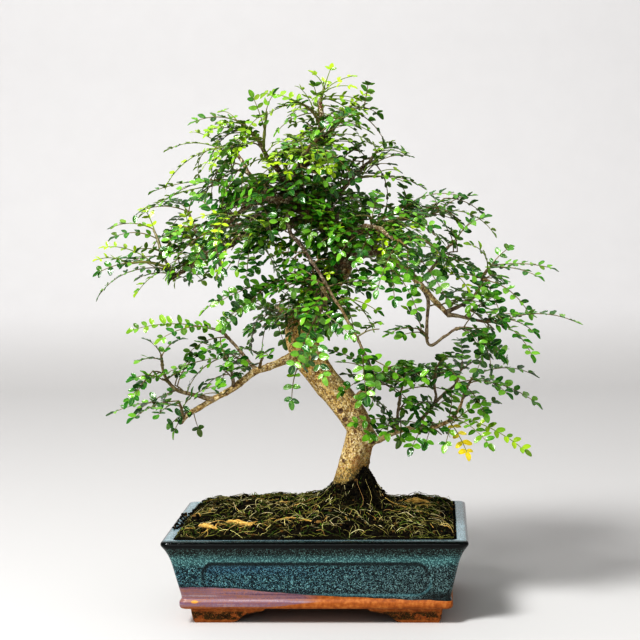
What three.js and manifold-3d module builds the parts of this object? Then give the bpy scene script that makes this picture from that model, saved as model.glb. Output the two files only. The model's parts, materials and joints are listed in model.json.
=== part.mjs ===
// A Japanese pepper bonsai: an S-shaped trunk with spreading branches and leafy twigs, rooted in a
// mound of soil that fills a low rectangular glazed pot on four corner feet.
// Units are millimetres, +Z is up and the front of the pot faces -Y. Sizes are worked out about the
// middle of the pot, and the whole group is moved at the end so that the origin lies at the middle of
// the object's own footprint, on the surface that it stands on.
import * as THREE from "three";
import { mergeVertices } from "three/addons/utils/BufferGeometryUtils.js";
import Module from "manifold-3d";

const wasm = await Module();
wasm.setup();

// Driving dimensions
const POT = { length: 250, depth: 185, height: 72, wall: 10, footHeight: 13, floor: 7 };
const CLEARANCE = 0.3; // left wherever two pieces meet
const SLIVER = 0.2; // corners that move a surface less than this are dropped from fused pieces
const HALF_X = POT.length / 2;
const HALF_Y = POT.depth / 2;
const FLOOR_TOP = POT.footHeight + POT.floor;

const { Vector3 } = THREE;

const finish = (color, roughness) => new THREE.MeshStandardMaterial({ color, roughness, metalness: 0 });
const GLAZE = finish(0x2f6472, 0.2);
const SCREEN_PLASTIC = finish(0x22262a, 0.6);
const DARK_SOIL = finish(0x2b2618, 0.95);
const BARK = finish(0xb49a6c, 0.8);
const ROOT_SKIN = finish(0xc79a52, 0.75);
const LEAF_GREEN = finish(0x2f7d24, 0.4);
const LEAF_YELLOW = finish(0xe3c51e, 0.45);

// A closed geometry as a solid, with only its positions kept and its shared corners merged.
function solidFrom(geometry) {
  const bare = geometry.clone();
  bare.deleteAttribute("normal");
  bare.deleteAttribute("uv");
  const merged = mergeVertices(bare, 1e-4);
  return new wasm.Manifold(
    new wasm.Mesh({
      numProp: 3,
      vertProperties: new Float32Array(merged.attributes.position.array),
      triVerts: new Uint32Array(merged.index.array),
    }),
  );
}

function geometryFrom(corners, triangles) {
  return new THREE.BufferGeometry().setFromPoints(corners).setIndex(triangles);
}

// The largest body of a solid, so that a loose scrap of a cut is dropped.
function mainBody(solid) {
  return solid.decompose().reduce((a, b) => (a.volume() > b.volume() ? a : b));
}

function meshFrom(solid, name, material) {
  const { numProp, vertProperties, triVerts } = mainBody(solid).getMesh();
  const corners = [];
  for (let i = 0; i < vertProperties.length; i += numProp)
    corners.push(new Vector3(vertProperties[i], vertProperties[i + 1], vertProperties[i + 2]));
  const mesh = new THREE.Mesh(geometryFrom(corners, Array.from(triVerts)), material);
  mesh.name = name;
  return mesh;
}

const unionOf = (solids) => wasm.Manifold.union(solids);

// The same number from 0 to 1 for the same whole-number keys, so that each draw is repeatable.
function chance(...keys) {
  let hash = 2166136261;
  for (const key of keys) {
    hash = Math.imul(hash ^ key, 16777619);
    hash = Math.imul(hash ^ (hash >>> 13), 1540483477);
    hash ^= hash >>> 15;
  }
  return (hash >>> 0) / 4294967296;
}

// Rings of equal count joined into one closed skin, with a fan over each end.
function loft(rings) {
  const count = rings[0].length;
  const corners = rings.flat();
  const triangles = [];
  for (let ring = 0; ring + 1 < rings.length; ring++)
    for (let i = 0; i < count; i++) {
      const a = ring * count + i;
      const b = ring * count + ((i + 1) % count);
      triangles.push(a, b, b + count, a, b + count, a + count);
    }
  const last = corners.length - count;
  const middle = (ring) => ring.reduce((sum, p) => sum.add(p), new Vector3()).divideScalar(count);
  const first = corners.push(middle(rings[0])) - 1;
  const end = corners.push(middle(rings.at(-1))) - 1;
  for (let i = 0; i < count; i++) {
    triangles.push(first, (i + 1) % count, i);
    triangles.push(end, last + i, last + ((i + 1) % count));
  }
  return solidFrom(geometryFrom(corners, triangles));
}

// A round tube of changing radius along a smooth curve, for trunk, branches, twigs and roots.
function taperedTube(curve, radiusAt, sides, steps) {
  const rings = [];
  let across = new Vector3(1, 0, 0);
  for (let step = 0; step <= steps; step++) {
    const t = step / steps;
    const point = curve.getPoint(t);
    const along = curve.getTangent(t);
    if (Math.abs(across.dot(along)) > 0.95) across = new Vector3(0, 1, 0);
    across = across.clone().addScaledVector(along, -across.dot(along)).normalize();
    const up = new Vector3().crossVectors(along, across);
    const ring = [];
    for (let i = 0; i < sides; i++) {
      const angle = (2 * Math.PI * i) / sides;
      const radius = radiusAt(t, angle);
      ring.push(
        point
          .clone()
          .addScaledVector(across, radius * Math.cos(angle))
          .addScaledVector(up, radius * Math.sin(angle)),
      );
    }
    rings.push(ring);
  }
  return loft(rings);
}

const smoothCurve = (points) =>
  new THREE.CatmullRomCurve3(
    points.map((p) => new Vector3(...p)),
    false,
    "catmullrom",
    0.5,
  );

// A value read off a list at t from 0 to 1, in straight stretches between its entries.
function along(list, t) {
  const place = Math.min(t, 0.9999) * (list.length - 1);
  const before = Math.floor(place);
  return THREE.MathUtils.lerp(list[before], list[before + 1], place - before);
}

// Pot: slip-cast stoneware in one piece. Body, base band, sunk wall panels, corner feet, drain holes.
const POT_CORNER = 6;
const CORNER_STEPS = 2;
const WALL_FOOT = { z: 22.5, inset: 15 };
const WALL_SHOULDER = { z: 52, inset: 8 };
const INNER_FOOT_INSET = 22;
const INNER_LIP = { z: POT.height - 2, inset: POT.wall + 1 };
const DRAIN = { radius: 8, x: 60 };

function roundedRectangle(halfX, halfY, radius, z) {
  const ring = [];
  const quadrants = [
    [1, 1],
    [-1, 1],
    [-1, -1],
    [1, -1],
  ];
  quadrants.forEach(([sx, sy], quadrant) => {
    for (let i = 0; i <= CORNER_STEPS; i++) {
      const angle = (Math.PI / 2) * (quadrant + i / CORNER_STEPS);
      ring.push(
        new Vector3(
          sx * (halfX - radius) + radius * Math.cos(angle),
          sy * (halfY - radius) + radius * Math.sin(angle),
          z,
        ),
      );
    }
  });
  return ring;
}

function potBody() {
  // Each row is a height and how far the wall lies inside the rim's outer edge there.
  const outside = [
    [POT.footHeight, 15.5],
    [14.5, 13.4],
    [19.5, 13],
    [21, 14.4],
    [WALL_FOOT.z, WALL_FOOT.inset],
    [WALL_SHOULDER.z, WALL_SHOULDER.inset],
    [61, 4.8],
    [66, 1.8],
    [69, 0],
    [71, 0.2],
    [POT.height, 1.6],
  ];
  const inside = [
    [POT.height, POT.wall],
    [INNER_LIP.z, INNER_LIP.inset],
    [FLOOR_TOP, INNER_FOOT_INSET],
  ];
  return loft(
    [...outside, ...inside].map(([z, inset]) =>
      roundedRectangle(HALF_X - inset, HALF_Y - inset, POT_CORNER - inset / 8, z),
    ),
  );
}

const PANEL = { halfFront: 94, halfEnd: 62, halfHeight: 12.8, corner: 10, sunk: 1.6, middleZ: 38.5 };

function panelCutter(halfLength, distance, turn) {
  const { halfHeight, corner, sunk, middleZ } = PANEL;
  const shape = new THREE.Shape();
  shape.moveTo(-halfLength + corner, -halfHeight);
  shape.absarc(halfLength - corner, -halfHeight + corner, corner, -Math.PI / 2, 0);
  shape.absarc(halfLength - corner, halfHeight - corner, corner, 0, Math.PI / 2);
  shape.absarc(-halfLength + corner, halfHeight - corner, corner, Math.PI / 2, Math.PI);
  shape.absarc(-halfLength + corner, -halfHeight + corner, corner, Math.PI, 1.5 * Math.PI);
  const lean = Math.atan2(WALL_FOOT.inset - WALL_SHOULDER.inset, WALL_SHOULDER.z - WALL_FOOT.z);
  const share = (middleZ - WALL_FOOT.z) / (WALL_SHOULDER.z - WALL_FOOT.z);
  const inset = THREE.MathUtils.lerp(WALL_FOOT.inset, WALL_SHOULDER.inset, share);
  const slab = new THREE.ExtrudeGeometry(shape, { depth: 8, bevelEnabled: false, curveSegments: 2 });
  slab.translate(0, 0, -sunk);
  slab.rotateX(Math.PI / 2 + lean);
  slab.translate(0, -(distance - inset), middleZ);
  slab.rotateZ(turn);
  return solidFrom(slab);
}

// One foot wall: flat on the ground from the corner, then stepping up to the pot's underside.
const FOOT = { cornerX: 104, cornerY: 72, thick: 12 };

function footWall(corner, flatTo, riseTo) {
  const top = POT.footHeight + 1.5;
  const run = flatTo - riseTo;
  const shape = new THREE.Shape();
  shape.moveTo(corner, top);
  shape.lineTo(corner - 1.5, 0);
  shape.lineTo(flatTo, 0);
  shape.quadraticCurveTo(flatTo - 0.15 * run, 0.5, flatTo - 0.25 * run, 5.5);
  shape.lineTo(flatTo - 0.65 * run, 8);
  shape.quadraticCurveTo(riseTo + 0.1 * run, 9.5, riseTo, top);
  return new THREE.ExtrudeGeometry(shape, { depth: FOOT.thick, bevelEnabled: false, curveSegments: 2 });
}

function cornerFoot(sx, sy) {
  const turn = Math.PI / 2;
  const longWall = footWall(FOOT.cornerX, 69, 40);
  longWall.rotateX(turn);
  longWall.translate(0, FOOT.cornerY, 0);
  const shortWall = footWall(FOOT.cornerY, 44, 22);
  shortWall.rotateX(turn);
  shortWall.rotateZ(turn);
  shortWall.translate(FOOT.cornerX - FOOT.thick, 0, 0);
  const foot = solidFrom(longWall).add(solidFrom(shortWall));
  if (sx > 0 && sy > 0) return foot;
  if (sx < 0 && sy < 0) return foot.rotate([0, 0, 180]);
  return foot.mirror(sx < 0 ? [1, 0, 0] : [0, 1, 0]);
}

function drainBore(x) {
  const bore = new THREE.CylinderGeometry(DRAIN.radius, DRAIN.radius, 30, 12);
  bore.rotateX(Math.PI / 2);
  bore.translate(x, 0, FLOOR_TOP);
  return solidFrom(bore);
}

function makePot() {
  const panels = [
    panelCutter(PANEL.halfFront, HALF_Y, 0),
    panelCutter(PANEL.halfFront, HALF_Y, Math.PI),
    panelCutter(PANEL.halfEnd, HALF_X, Math.PI / 2),
    panelCutter(PANEL.halfEnd, HALF_X, -Math.PI / 2),
  ];
  const feet = [cornerFoot(1, 1), cornerFoot(-1, 1), cornerFoot(-1, -1), cornerFoot(1, -1)];
  const bores = [drainBore(-DRAIN.x), drainBore(DRAIN.x)];
  const body = unionOf([potBody().subtract(unionOf(panels)), ...feet]);
  return body.subtract(unionOf(bores)).simplify(SLIVER / 2);
}

// Drain screens: a small square of plastic mesh lies over each drain hole and keeps the soil in.
const SCREEN = { side: 28, thick: 1, openings: 2, opening: 5, pitch: 7 };

function makeScreen(x) {
  const { side, thick, openings, opening, pitch } = SCREEN;
  const block = (width, height, cx, cy) => {
    const box = new THREE.BoxGeometry(width, width, height);
    box.translate(cx, cy, FLOOR_TOP + CLEARANCE + thick / 2);
    return solidFrom(box);
  };
  const gaps = [];
  for (let row = 0; row < openings; row++)
    for (let column = 0; column < openings; column++) {
      const cx = x + (column - (openings - 1) / 2) * pitch;
      const cy = (row - (openings - 1) / 2) * pitch;
      gaps.push(block(opening, 3 * thick, cx, cy));
    }
  return block(side, thick, x, 0).subtract(unionOf(gaps));
}

// Trunk and woody branches, grown as one piece. Each branch starts inside the one that bears it.
// A row holds points on the branch's middle line, its radii spread evenly along it, its sides and steps.
const WOOD = {
  trunk: {
    points: [
      [25, 0, 70], [26, 0, 95], [28, 0, 117], [33, -2, 139], [33, -2, 154], [18, 0, 177], [2, 3, 197],
      [-12, 6, 220], [-14, 8, 242], [3, 8, 267], [22, 4, 291], [19, 0, 314], [-3, -2, 334],
      [-21, 2, 350], [-13, 4, 371], [2, 3, 392], [6, 0, 412], [5, 0, 430],
    ],
    radii: [19, 16.5, 13, 11.8, 11, 12.2, 11.6, 13, 12.3, 10.5, 9.3, 8.6, 7.8, 6.4, 4.4, 3.2, 2.2, 1.4],
    sides: 9,
    steps: 22,
  },
  lowLeft: {
    points: [
      [-10, 6, 219], [-31, -6, 209], [-51, -10, 202], [-71, -13, 188], [-88, -15, 178],
      [-108, -17, 167], [-117, -18, 158],
    ],
    radii: [4.6, 3.2, 2.9, 2.7, 2.4, 2, 1.6],
  },
  lowLeftRise: { points: [[-51, -10, 202], [-65, -14, 218], [-76, -18, 233]], radii: [1.7, 1.4, 1.1] },
  lowLeftSpur: { points: [[-71, -13, 188], [-72, -18, 202], [-74, -22, 214]], radii: [1.4, 1.2, 1] },
  lowLeftFork: {
    points: [[-88, -15, 178], [-107, -19, 183], [-119, -23, 188], [-127, -27, 200], [-129, -30, 211]],
    radii: [1.9, 1.6, 1.4, 1.2, 1],
  },
  lowRight: {
    points: [
      [31, -2, 145], [47, -5, 141], [65, -9, 149], [81, -12, 153], [97, -14, 154], [110, -16, 159],
      [119, -17, 169], [123, -18, 182],
    ],
    radii: [3.8, 3, 2.3, 2, 1.8, 1.6, 1.3, 1],
  },
  lowRightSpur: { points: [[66, -9, 150], [67, -12, 162], [69, -16, 175]], radii: [1.4, 1.2, 1] },
  lowRightRise: {
    points: [[81, -12, 153], [97, -6, 171], [110, 2, 182], [118, 8, 188]],
    radii: [1.7, 1.4, 1.2, 1],
  },
  lowRightTwig: { points: [[99, -5, 173], [99, -16, 185], [99, -24, 196]], radii: [1.2, 1.1, 0.9] },
  burlShoot: {
    points: [[22, -2, 172], [35, -13, 181], [48, -22, 191], [54, -27, 199]],
    radii: [3, 1.8, 1.5, 1.2],
  },
  archRight: {
    points: [
      [20, 2, 290], [36, -8, 299], [54, -18, 303], [69, -24, 293], [82, -28, 281], [96, -32, 265],
      [111, -36, 249],
    ],
    radii: [5.5, 4, 3.5, 3.1, 2.7, 2.3, 1.7],
    steps: 8,
  },
  archDrop: {
    points: [[91, -30, 271], [94, -36, 258], [94, -44, 227], [107, -52, 234], [118, -58, 241]],
    radii: [1.6, 1.4, 1.2, 1.1, 1],
  },
  archLift: { points: [[86, -29, 276], [98, -22, 288], [108, -16, 302]], radii: [1.5, 1.3, 1] },
  archFar: {
    points: [[108, -35, 251], [129, -28, 262], [138, -24, 276], [141, -22, 283]],
    radii: [1.6, 1.3, 1.1, 0.9],
  },
  archTip: { points: [[110, -36, 250], [127, -44, 247], [142, -50, 245]], radii: [1.6, 1.3, 1] },
  leftLimb: {
    points: [
      [2, 0, 331], [-22, 4, 325], [-52, 8, 319], [-74, 12, 309], [-96, 15, 298], [-110, 18, 289],
      [-128, 22, 278],
    ],
    radii: [5.4, 4.2, 3.6, 3.1, 2.5, 2, 1.5],
  },
  leftLimbRise: { points: [[-96, 15, 298], [-102, 20, 312], [-107, 24, 324]], radii: [1.6, 1.3, 1] },
  leftLimbShoot: { points: [[-123, 21, 281], [-130, 14, 293], [-134, 8, 306]], radii: [1.4, 1.2, 1] },
  hangingTwig: {
    points: [
      [-10, 0, 338], [-21, -20, 334], [-19, -34, 320], [-7, -42, 305], [13, -48, 273], [28, -52, 247],
      [37, -54, 231],
    ],
    radii: [2.2, 1.8, 1.6, 1.5, 1.4, 1.3, 1],
  },
  leftRear: {
    points: [[-20, 2, 347], [-38, 12, 343], [-47, 18, 354], [-58, 25, 368], [-68, 31, 382], [-76, 36, 391]],
    radii: [4, 2.8, 2.2, 1.8, 1.4, 1.1],
  },
  leftUpper: {
    points: [[-21, 2, 351], [-30, -8, 370], [-39, -16, 382], [-46, -24, 397], [-55, -30, 406]],
    radii: [3.6, 2.3, 1.9, 1.5, 1.1],
  },
  rightUpper: {
    points: [[0, 4, 386], [12, 12, 402], [22, 18, 413], [27, 23, 421]],
    radii: [2.6, 1.8, 1.4, 1.1],
  },
  rightShelf: {
    points: [[19, 0, 314], [47, 14, 320], [67, 25, 327], [86, 34, 329], [99, 42, 330]],
    radii: [4.4, 2.8, 2.2, 1.7, 1.2],
  },
  rightInner: {
    points: [[2, 0, 330], [22, 12, 353], [35, 22, 368], [47, 30, 378]],
    radii: [3.6, 2, 1.6, 1.2],
  },
  rearLow: {
    points: [[-13, 7, 234], [-26, 36, 242], [-36, 66, 247], [-42, 90, 247]],
    radii: [4, 2.6, 2, 1.3],
  },
  rearRight: {
    points: [[21, 4, 289], [38, 34, 296], [54, 66, 296], [64, 92, 291]],
    radii: [4.4, 2.8, 2.1, 1.4],
  },
  rearMiddle: {
    points: [[14, 0, 320], [15, 33, 333], [9, 68, 338], [2, 96, 336]],
    radii: [4.2, 2.6, 2, 1.3],
  },
  rearLeft: {
    points: [[-9, -1, 340], [-33, 38, 335], [-58, 64, 330], [-78, 86, 320]],
    radii: [4, 2.6, 1.9, 1.3],
  },
  rearTop: { points: [[-12, 4, 373], [-9, 30, 386], [-4, 54, 390]], radii: [2.6, 1.8, 1.2] },
  frontMiddle: {
    points: [[4, 6, 266], [1, -22, 276], [6, -52, 276], [15, -80, 267]],
    radii: [4, 2.6, 2, 1.2],
  },
  frontLeft: {
    points: [[-14, 0, 343], [-33, -32, 347], [-53, -62, 341], [-64, -88, 329]],
    radii: [3.8, 2.4, 1.8, 1.2],
  },
  frontRight: {
    points: [[20, 0, 308], [37, -28, 321], [55, -58, 322], [70, -84, 312]],
    radii: [4, 2.5, 1.9, 1.2],
  },
  frontTop: { points: [[-14, 3, 367], [-8, -25, 383], [-2, -52, 386]], radii: [2.6, 1.7, 1.2] },
};
// Pruning scars and knots that stand out of the bark: centre and radius.
const KNOTS = [
  [[44, -6, 141], 5.2],
  [[22, -6, 168], 5.2],
  [[-30, -4, 350], 5.6],
  [[-8, -8, 238], 4.4],
  [[32, -4, 300], 4.6],
];

// A branch's middle line, and its radius with a collar where it leaves its parent.
const LIMBS = Object.entries(WOOD).map(([name, row]) => {
  const thick = row.radii[0] > 2.5;
  const steps = row.steps ?? Math.max(3, row.points.length - 1);
  return { name, curve: smoothCurve(row.points), sides: thick ? 5 : 3, ...row, steps };
});
const limbNamed = (name) => LIMBS.find((limb) => limb.name === name);

function limbSolid(limb, extra = 0) {
  const waviness = limb.name === "trunk" ? 0.06 : 0;
  const radiusAt = (t, angle) =>
    along(limb.radii, t) * (1 + waviness * Math.sin(3 * angle + 9 * t)) + extra;
  return taperedTube(limb.curve, radiusAt, limb.sides, limb.steps);
}

function knotSolid([centre, radius], extra = 0) {
  const knot = new THREE.IcosahedronGeometry(radius + 1.3 * extra, 0);
  knot.translate(...centre);
  return solidFrom(knot);
}

// The wood with a clearance all round it, that the twigs are cut back to.
function woodWithClearance() {
  const skins = LIMBS.map((limb) => limbSolid(limb, CLEARANCE));
  const ends = LIMBS.map(({ curve, radii }) =>
    knotSolid([curve.getPoint(1).toArray(), 1.3 * radii.at(-1)], CLEARANCE),
  );
  const knots = KNOTS.map((row) => knotSolid(row, CLEARANCE));
  return unionOf([...skins, ...ends, ...knots]);
}

// Soil: a rooted block that fills the pot, domed, with a steep mound round the foot of the trunk.
const TRUNK_FOOT = { x: 27, y: 0 };
const SOIL = { edge: 74.5, dome: 9, shelf: 4, mound: 26, shoulder: 15 };

function soilHeight(x, y) {
  const across = Math.min(1, Math.abs(x) / 114);
  const deep = Math.min(1, Math.abs(y) / 82);
  const fallOff = Math.pow(1 - deep * deep, 0.6);
  const dome = SOIL.dome * (1 - Math.pow(across, 6)) * fallOff;
  const shelf = SOIL.shelf * Math.exp(-(((x + 5) / 50) ** 2)) * fallOff;
  const mound = SOIL.mound * Math.exp(-(((x - TRUNK_FOOT.x) / 23) ** 2) - (((y - TRUNK_FOOT.y) / 26) ** 2));
  const shoulder =
    SOIL.shoulder * Math.exp(-(((x - TRUNK_FOOT.x - 12) / 13) ** 2) - (((y - TRUNK_FOOT.y + 4) / 17) ** 2));
  return SOIL.edge + dome + shelf + mound + shoulder;
}

function soilRing(inset, z, share) {
  const spread = roundedRectangle(HALF_X - inset, HALF_Y - inset, 5, z);
  const ring = [];
  spread.forEach((corner, i) => {
    const next = spread[(i + 1) % spread.length];
    const pieces = corner.distanceTo(next) > 100 ? 4 : corner.distanceTo(next) > 50 ? 3 : 1;
    for (let k = 0; k < pieces; k++) ring.push(corner.clone().lerp(next, k / pieces));
  });
  if (share === undefined) return ring;
  return ring.map((p, i) => {
    const x = THREE.MathUtils.lerp(TRUNK_FOOT.x, p.x, share);
    const y = THREE.MathUtils.lerp(TRUNK_FOOT.y, p.y, share);
    const crumb = share < 1 ? 2.4 * (chance(7, i, Math.round(100 * share)) - 0.5) : 0;
    return new Vector3(x, y, soilHeight(x, y) + crumb);
  });
}

function makeSoil(screens, roots) {
  const innerInset = (z) =>
    THREE.MathUtils.mapLinear(z, FLOOR_TOP, INNER_LIP.z, INNER_FOOT_INSET, INNER_LIP.inset) + 0.4;
  const bottom = FLOOR_TOP + CLEARANCE;
  const rings = [soilRing(innerInset(bottom), bottom), soilRing(innerInset(INNER_LIP.z), INNER_LIP.z)];
  const shares = [0.98, 0.84, 0.64, 0.44, 0.28];
  for (const share of shares) rings.push(soilRing(innerInset(INNER_LIP.z), 0, share));
  const pockets = screens.map((screen) => {
    const { min, max } = screen.boundingBox();
    const pocket = new THREE.BoxGeometry(max[0] - min[0] + 0.8, max[1] - min[1] + 0.8, 6);
    pocket.translate((min[0] + max[0]) / 2, 0, max[2] + CLEARANCE - 3);
    return solidFrom(pocket);
  });
  const trunkHole = limbSolid(limbNamed("trunk"), CLEARANCE);
  return loft(rings).subtract(unionOf([...pockets, trunkHole, ...roots])).simplify(SLIVER);
}

// Surface roots: stout pale roots that lie half sunk in the soil near the rim. Each point is where it
// lies in plan and how high its middle is above the soil.
const SURFACE_ROOTS = {
  root_front_left: { points: [[-97, -56, -1], [-90, -64, 0.6], [-79, -70, -1]], radii: [2, 2.4, 1.2] },
  root_front_middle: {
    points: [[-75, -52, -1], [-66, -60, 0.8], [-54, -67, 0.6], [-38, -71, -1]],
    radii: [1.6, 2.5, 2.2, 1],
  },
  root_right: {
    points: [[68, 24, -1.5], [79, 31, 0.8], [90, 24, 0.8], [96, 8, -1]],
    radii: [1.2, 2, 2.2, 1.2],
  },
};

const rootCurve = ({ points }) =>
  smoothCurve(points.map(([x, y, lift]) => [x, y, soilHeight(x, y) + lift]));

const rootSolid = (row, extra = 0) =>
  taperedTube(rootCurve(row), (t) => along(row.radii, t) + extra, 5, 6);

// The groove that a surface root lies in, a little longer than the root itself.
function rootTrench(row) {
  const ends = [0, 1].map((t) =>
    knotSolid([rootCurve(row).getPoint(t).toArray(), 1.3 * along(row.radii, t)], CLEARANCE),
  );
  return unionOf([rootSolid(row, 1.5 * CLEARANCE), ...ends]);
}

// One pinnate leaf, built as a single blade: a thin ridged rib, pairs of pointed oval leaflets cut in to
// the rib and an end leaflet. Heading and normal are at right angles at its base, and the rib bends
// away from the normal by the arch angle over its length.
const LEAF = { ridge: 1, ribHalf: 0.55, stalk: 0.45, notch: 1.1, firstPair: 0.27, lastPair: 0.73 };
const LEAFLET = { lengthShare: 0.23, longest: 12, widthShare: 0.72, lift: 0.12 };

function leafSolid({ base, heading, normal, length, arch, pairs }, margin = 0) {
  const side = new Vector3().crossVectors(heading, normal);
  const corners = [];
  const triangles = [];
  const frameAt = (t) => {
    const angle = arch * t;
    return {
      point: base
        .clone()
        .addScaledVector(heading, (length * Math.sin(angle)) / arch)
        .addScaledVector(normal, (-length * (1 - Math.cos(angle))) / arch),
      ahead: heading.clone().multiplyScalar(Math.cos(angle)).addScaledVector(normal, -Math.sin(angle)),
      up: normal.clone().multiplyScalar(Math.cos(angle)).addScaledVector(heading, Math.sin(angle)),
    };
  };
  const add = (frame, forward, sideways, upward) =>
    corners.push(
      frame.point
        .clone()
        .addScaledVector(frame.ahead, forward)
        .addScaledVector(side, sideways)
        .addScaledVector(frame.up, upward),
    ) - 1;
  // A station of the rib has a corner on its ridge, and behind and before the leaflet on either hand.
  const station = (t, halfGap, size = 1) => {
    const frame = frameAt(t);
    const made = { t, frame, top: add(frame, 0, 0, size * LEAF.ridge + margin) };
    const outward = size * LEAF.ribHalf + margin;
    for (const hand of [1, -1]) {
      const behind = add(frame, -halfGap, hand * outward, -margin);
      const before = halfGap ? add(frame, halfGap, hand * outward, -margin) : behind;
      made[hand] = { behind, before };
    }
    return made;
  };
  const joinStations = (from, to) => {
    triangles.push(from.top, from[1].before, to[1].behind, from.top, to[1].behind, to.top);
    triangles.push(from.top, to.top, to[-1].behind, from.top, to[-1].behind, from[-1].before);
    triangles.push(from[1].before, from[-1].before, to[-1].behind);
    triangles.push(from[1].before, to[-1].behind, to[1].behind);
  };
  // A leaflet is a fan from the ridge down to its outline, over a fan across its flat underside.
  const addLeaflet = (top, outline, hand) => {
    const turned = hand > 0 ? outline : outline.toReversed();
    for (let i = 0; i + 1 < turned.length; i++) triangles.push(top, turned[i], turned[i + 1]);
    for (let i = 1; i + 1 < turned.length; i++) triangles.push(turned[0], turned[i + 1], turned[i]);
  };
  const leafletLength = Math.min(LEAFLET.lengthShare * length, LEAFLET.longest) + margin;
  const halfWidth = (LEAFLET.widthShare * leafletLength) / 2;
  const start = station(0, 0, LEAF.stalk);
  let previous = start;
  for (let pair = 0; pair < pairs; pair++) {
    const share = pairs > 1 ? pair / (pairs - 1) : 0.8;
    const here = station(THREE.MathUtils.lerp(LEAF.firstPair, LEAF.lastPair, share), LEAF.notch);
    joinStations(previous, here);
    triangles.push(here[1].behind, here[-1].behind, here[-1].before);
    triangles.push(here[1].behind, here[-1].before, here[1].before);
    const sweep = THREE.MathUtils.lerp(0.15, 0.45, share);
    const size = pair === 0 && pairs > 1 ? 0.85 : 1;
    for (const hand of [1, -1]) {
      const reach = (out, forward) =>
        add(
          here.frame,
          size * (out * leafletLength * Math.sin(sweep) + forward * halfWidth * Math.cos(sweep)),
          hand * size * (out * leafletLength * Math.cos(sweep) - forward * halfWidth * Math.sin(sweep)),
          size * out * leafletLength * LEAFLET.lift,
        );
      const outline = [here[hand].behind, reach(0.72, -0.95), reach(1, 0.55), here[hand].before];
      addLeaflet(here.top, outline, hand);
    }
    previous = here;
  }
  const endLength = length * (1 - previous.t) * 0.98 + margin;
  const drop = (distance) => (-distance * distance * arch) / (2 * length);
  const rim = (share, hand) =>
    add(previous.frame, share * endLength, hand * halfWidth, drop(share * endLength));
  const outline = [previous[1].before, rim(0.62, 1), rim(1, 0), rim(0.62, -1), previous[-1].before];
  addLeaflet(previous.top, outline, 1);
  triangles.push(start.top, start[-1].before, start[1].before);
  return solidFrom(geometryFrom(corners, triangles));
}

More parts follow.
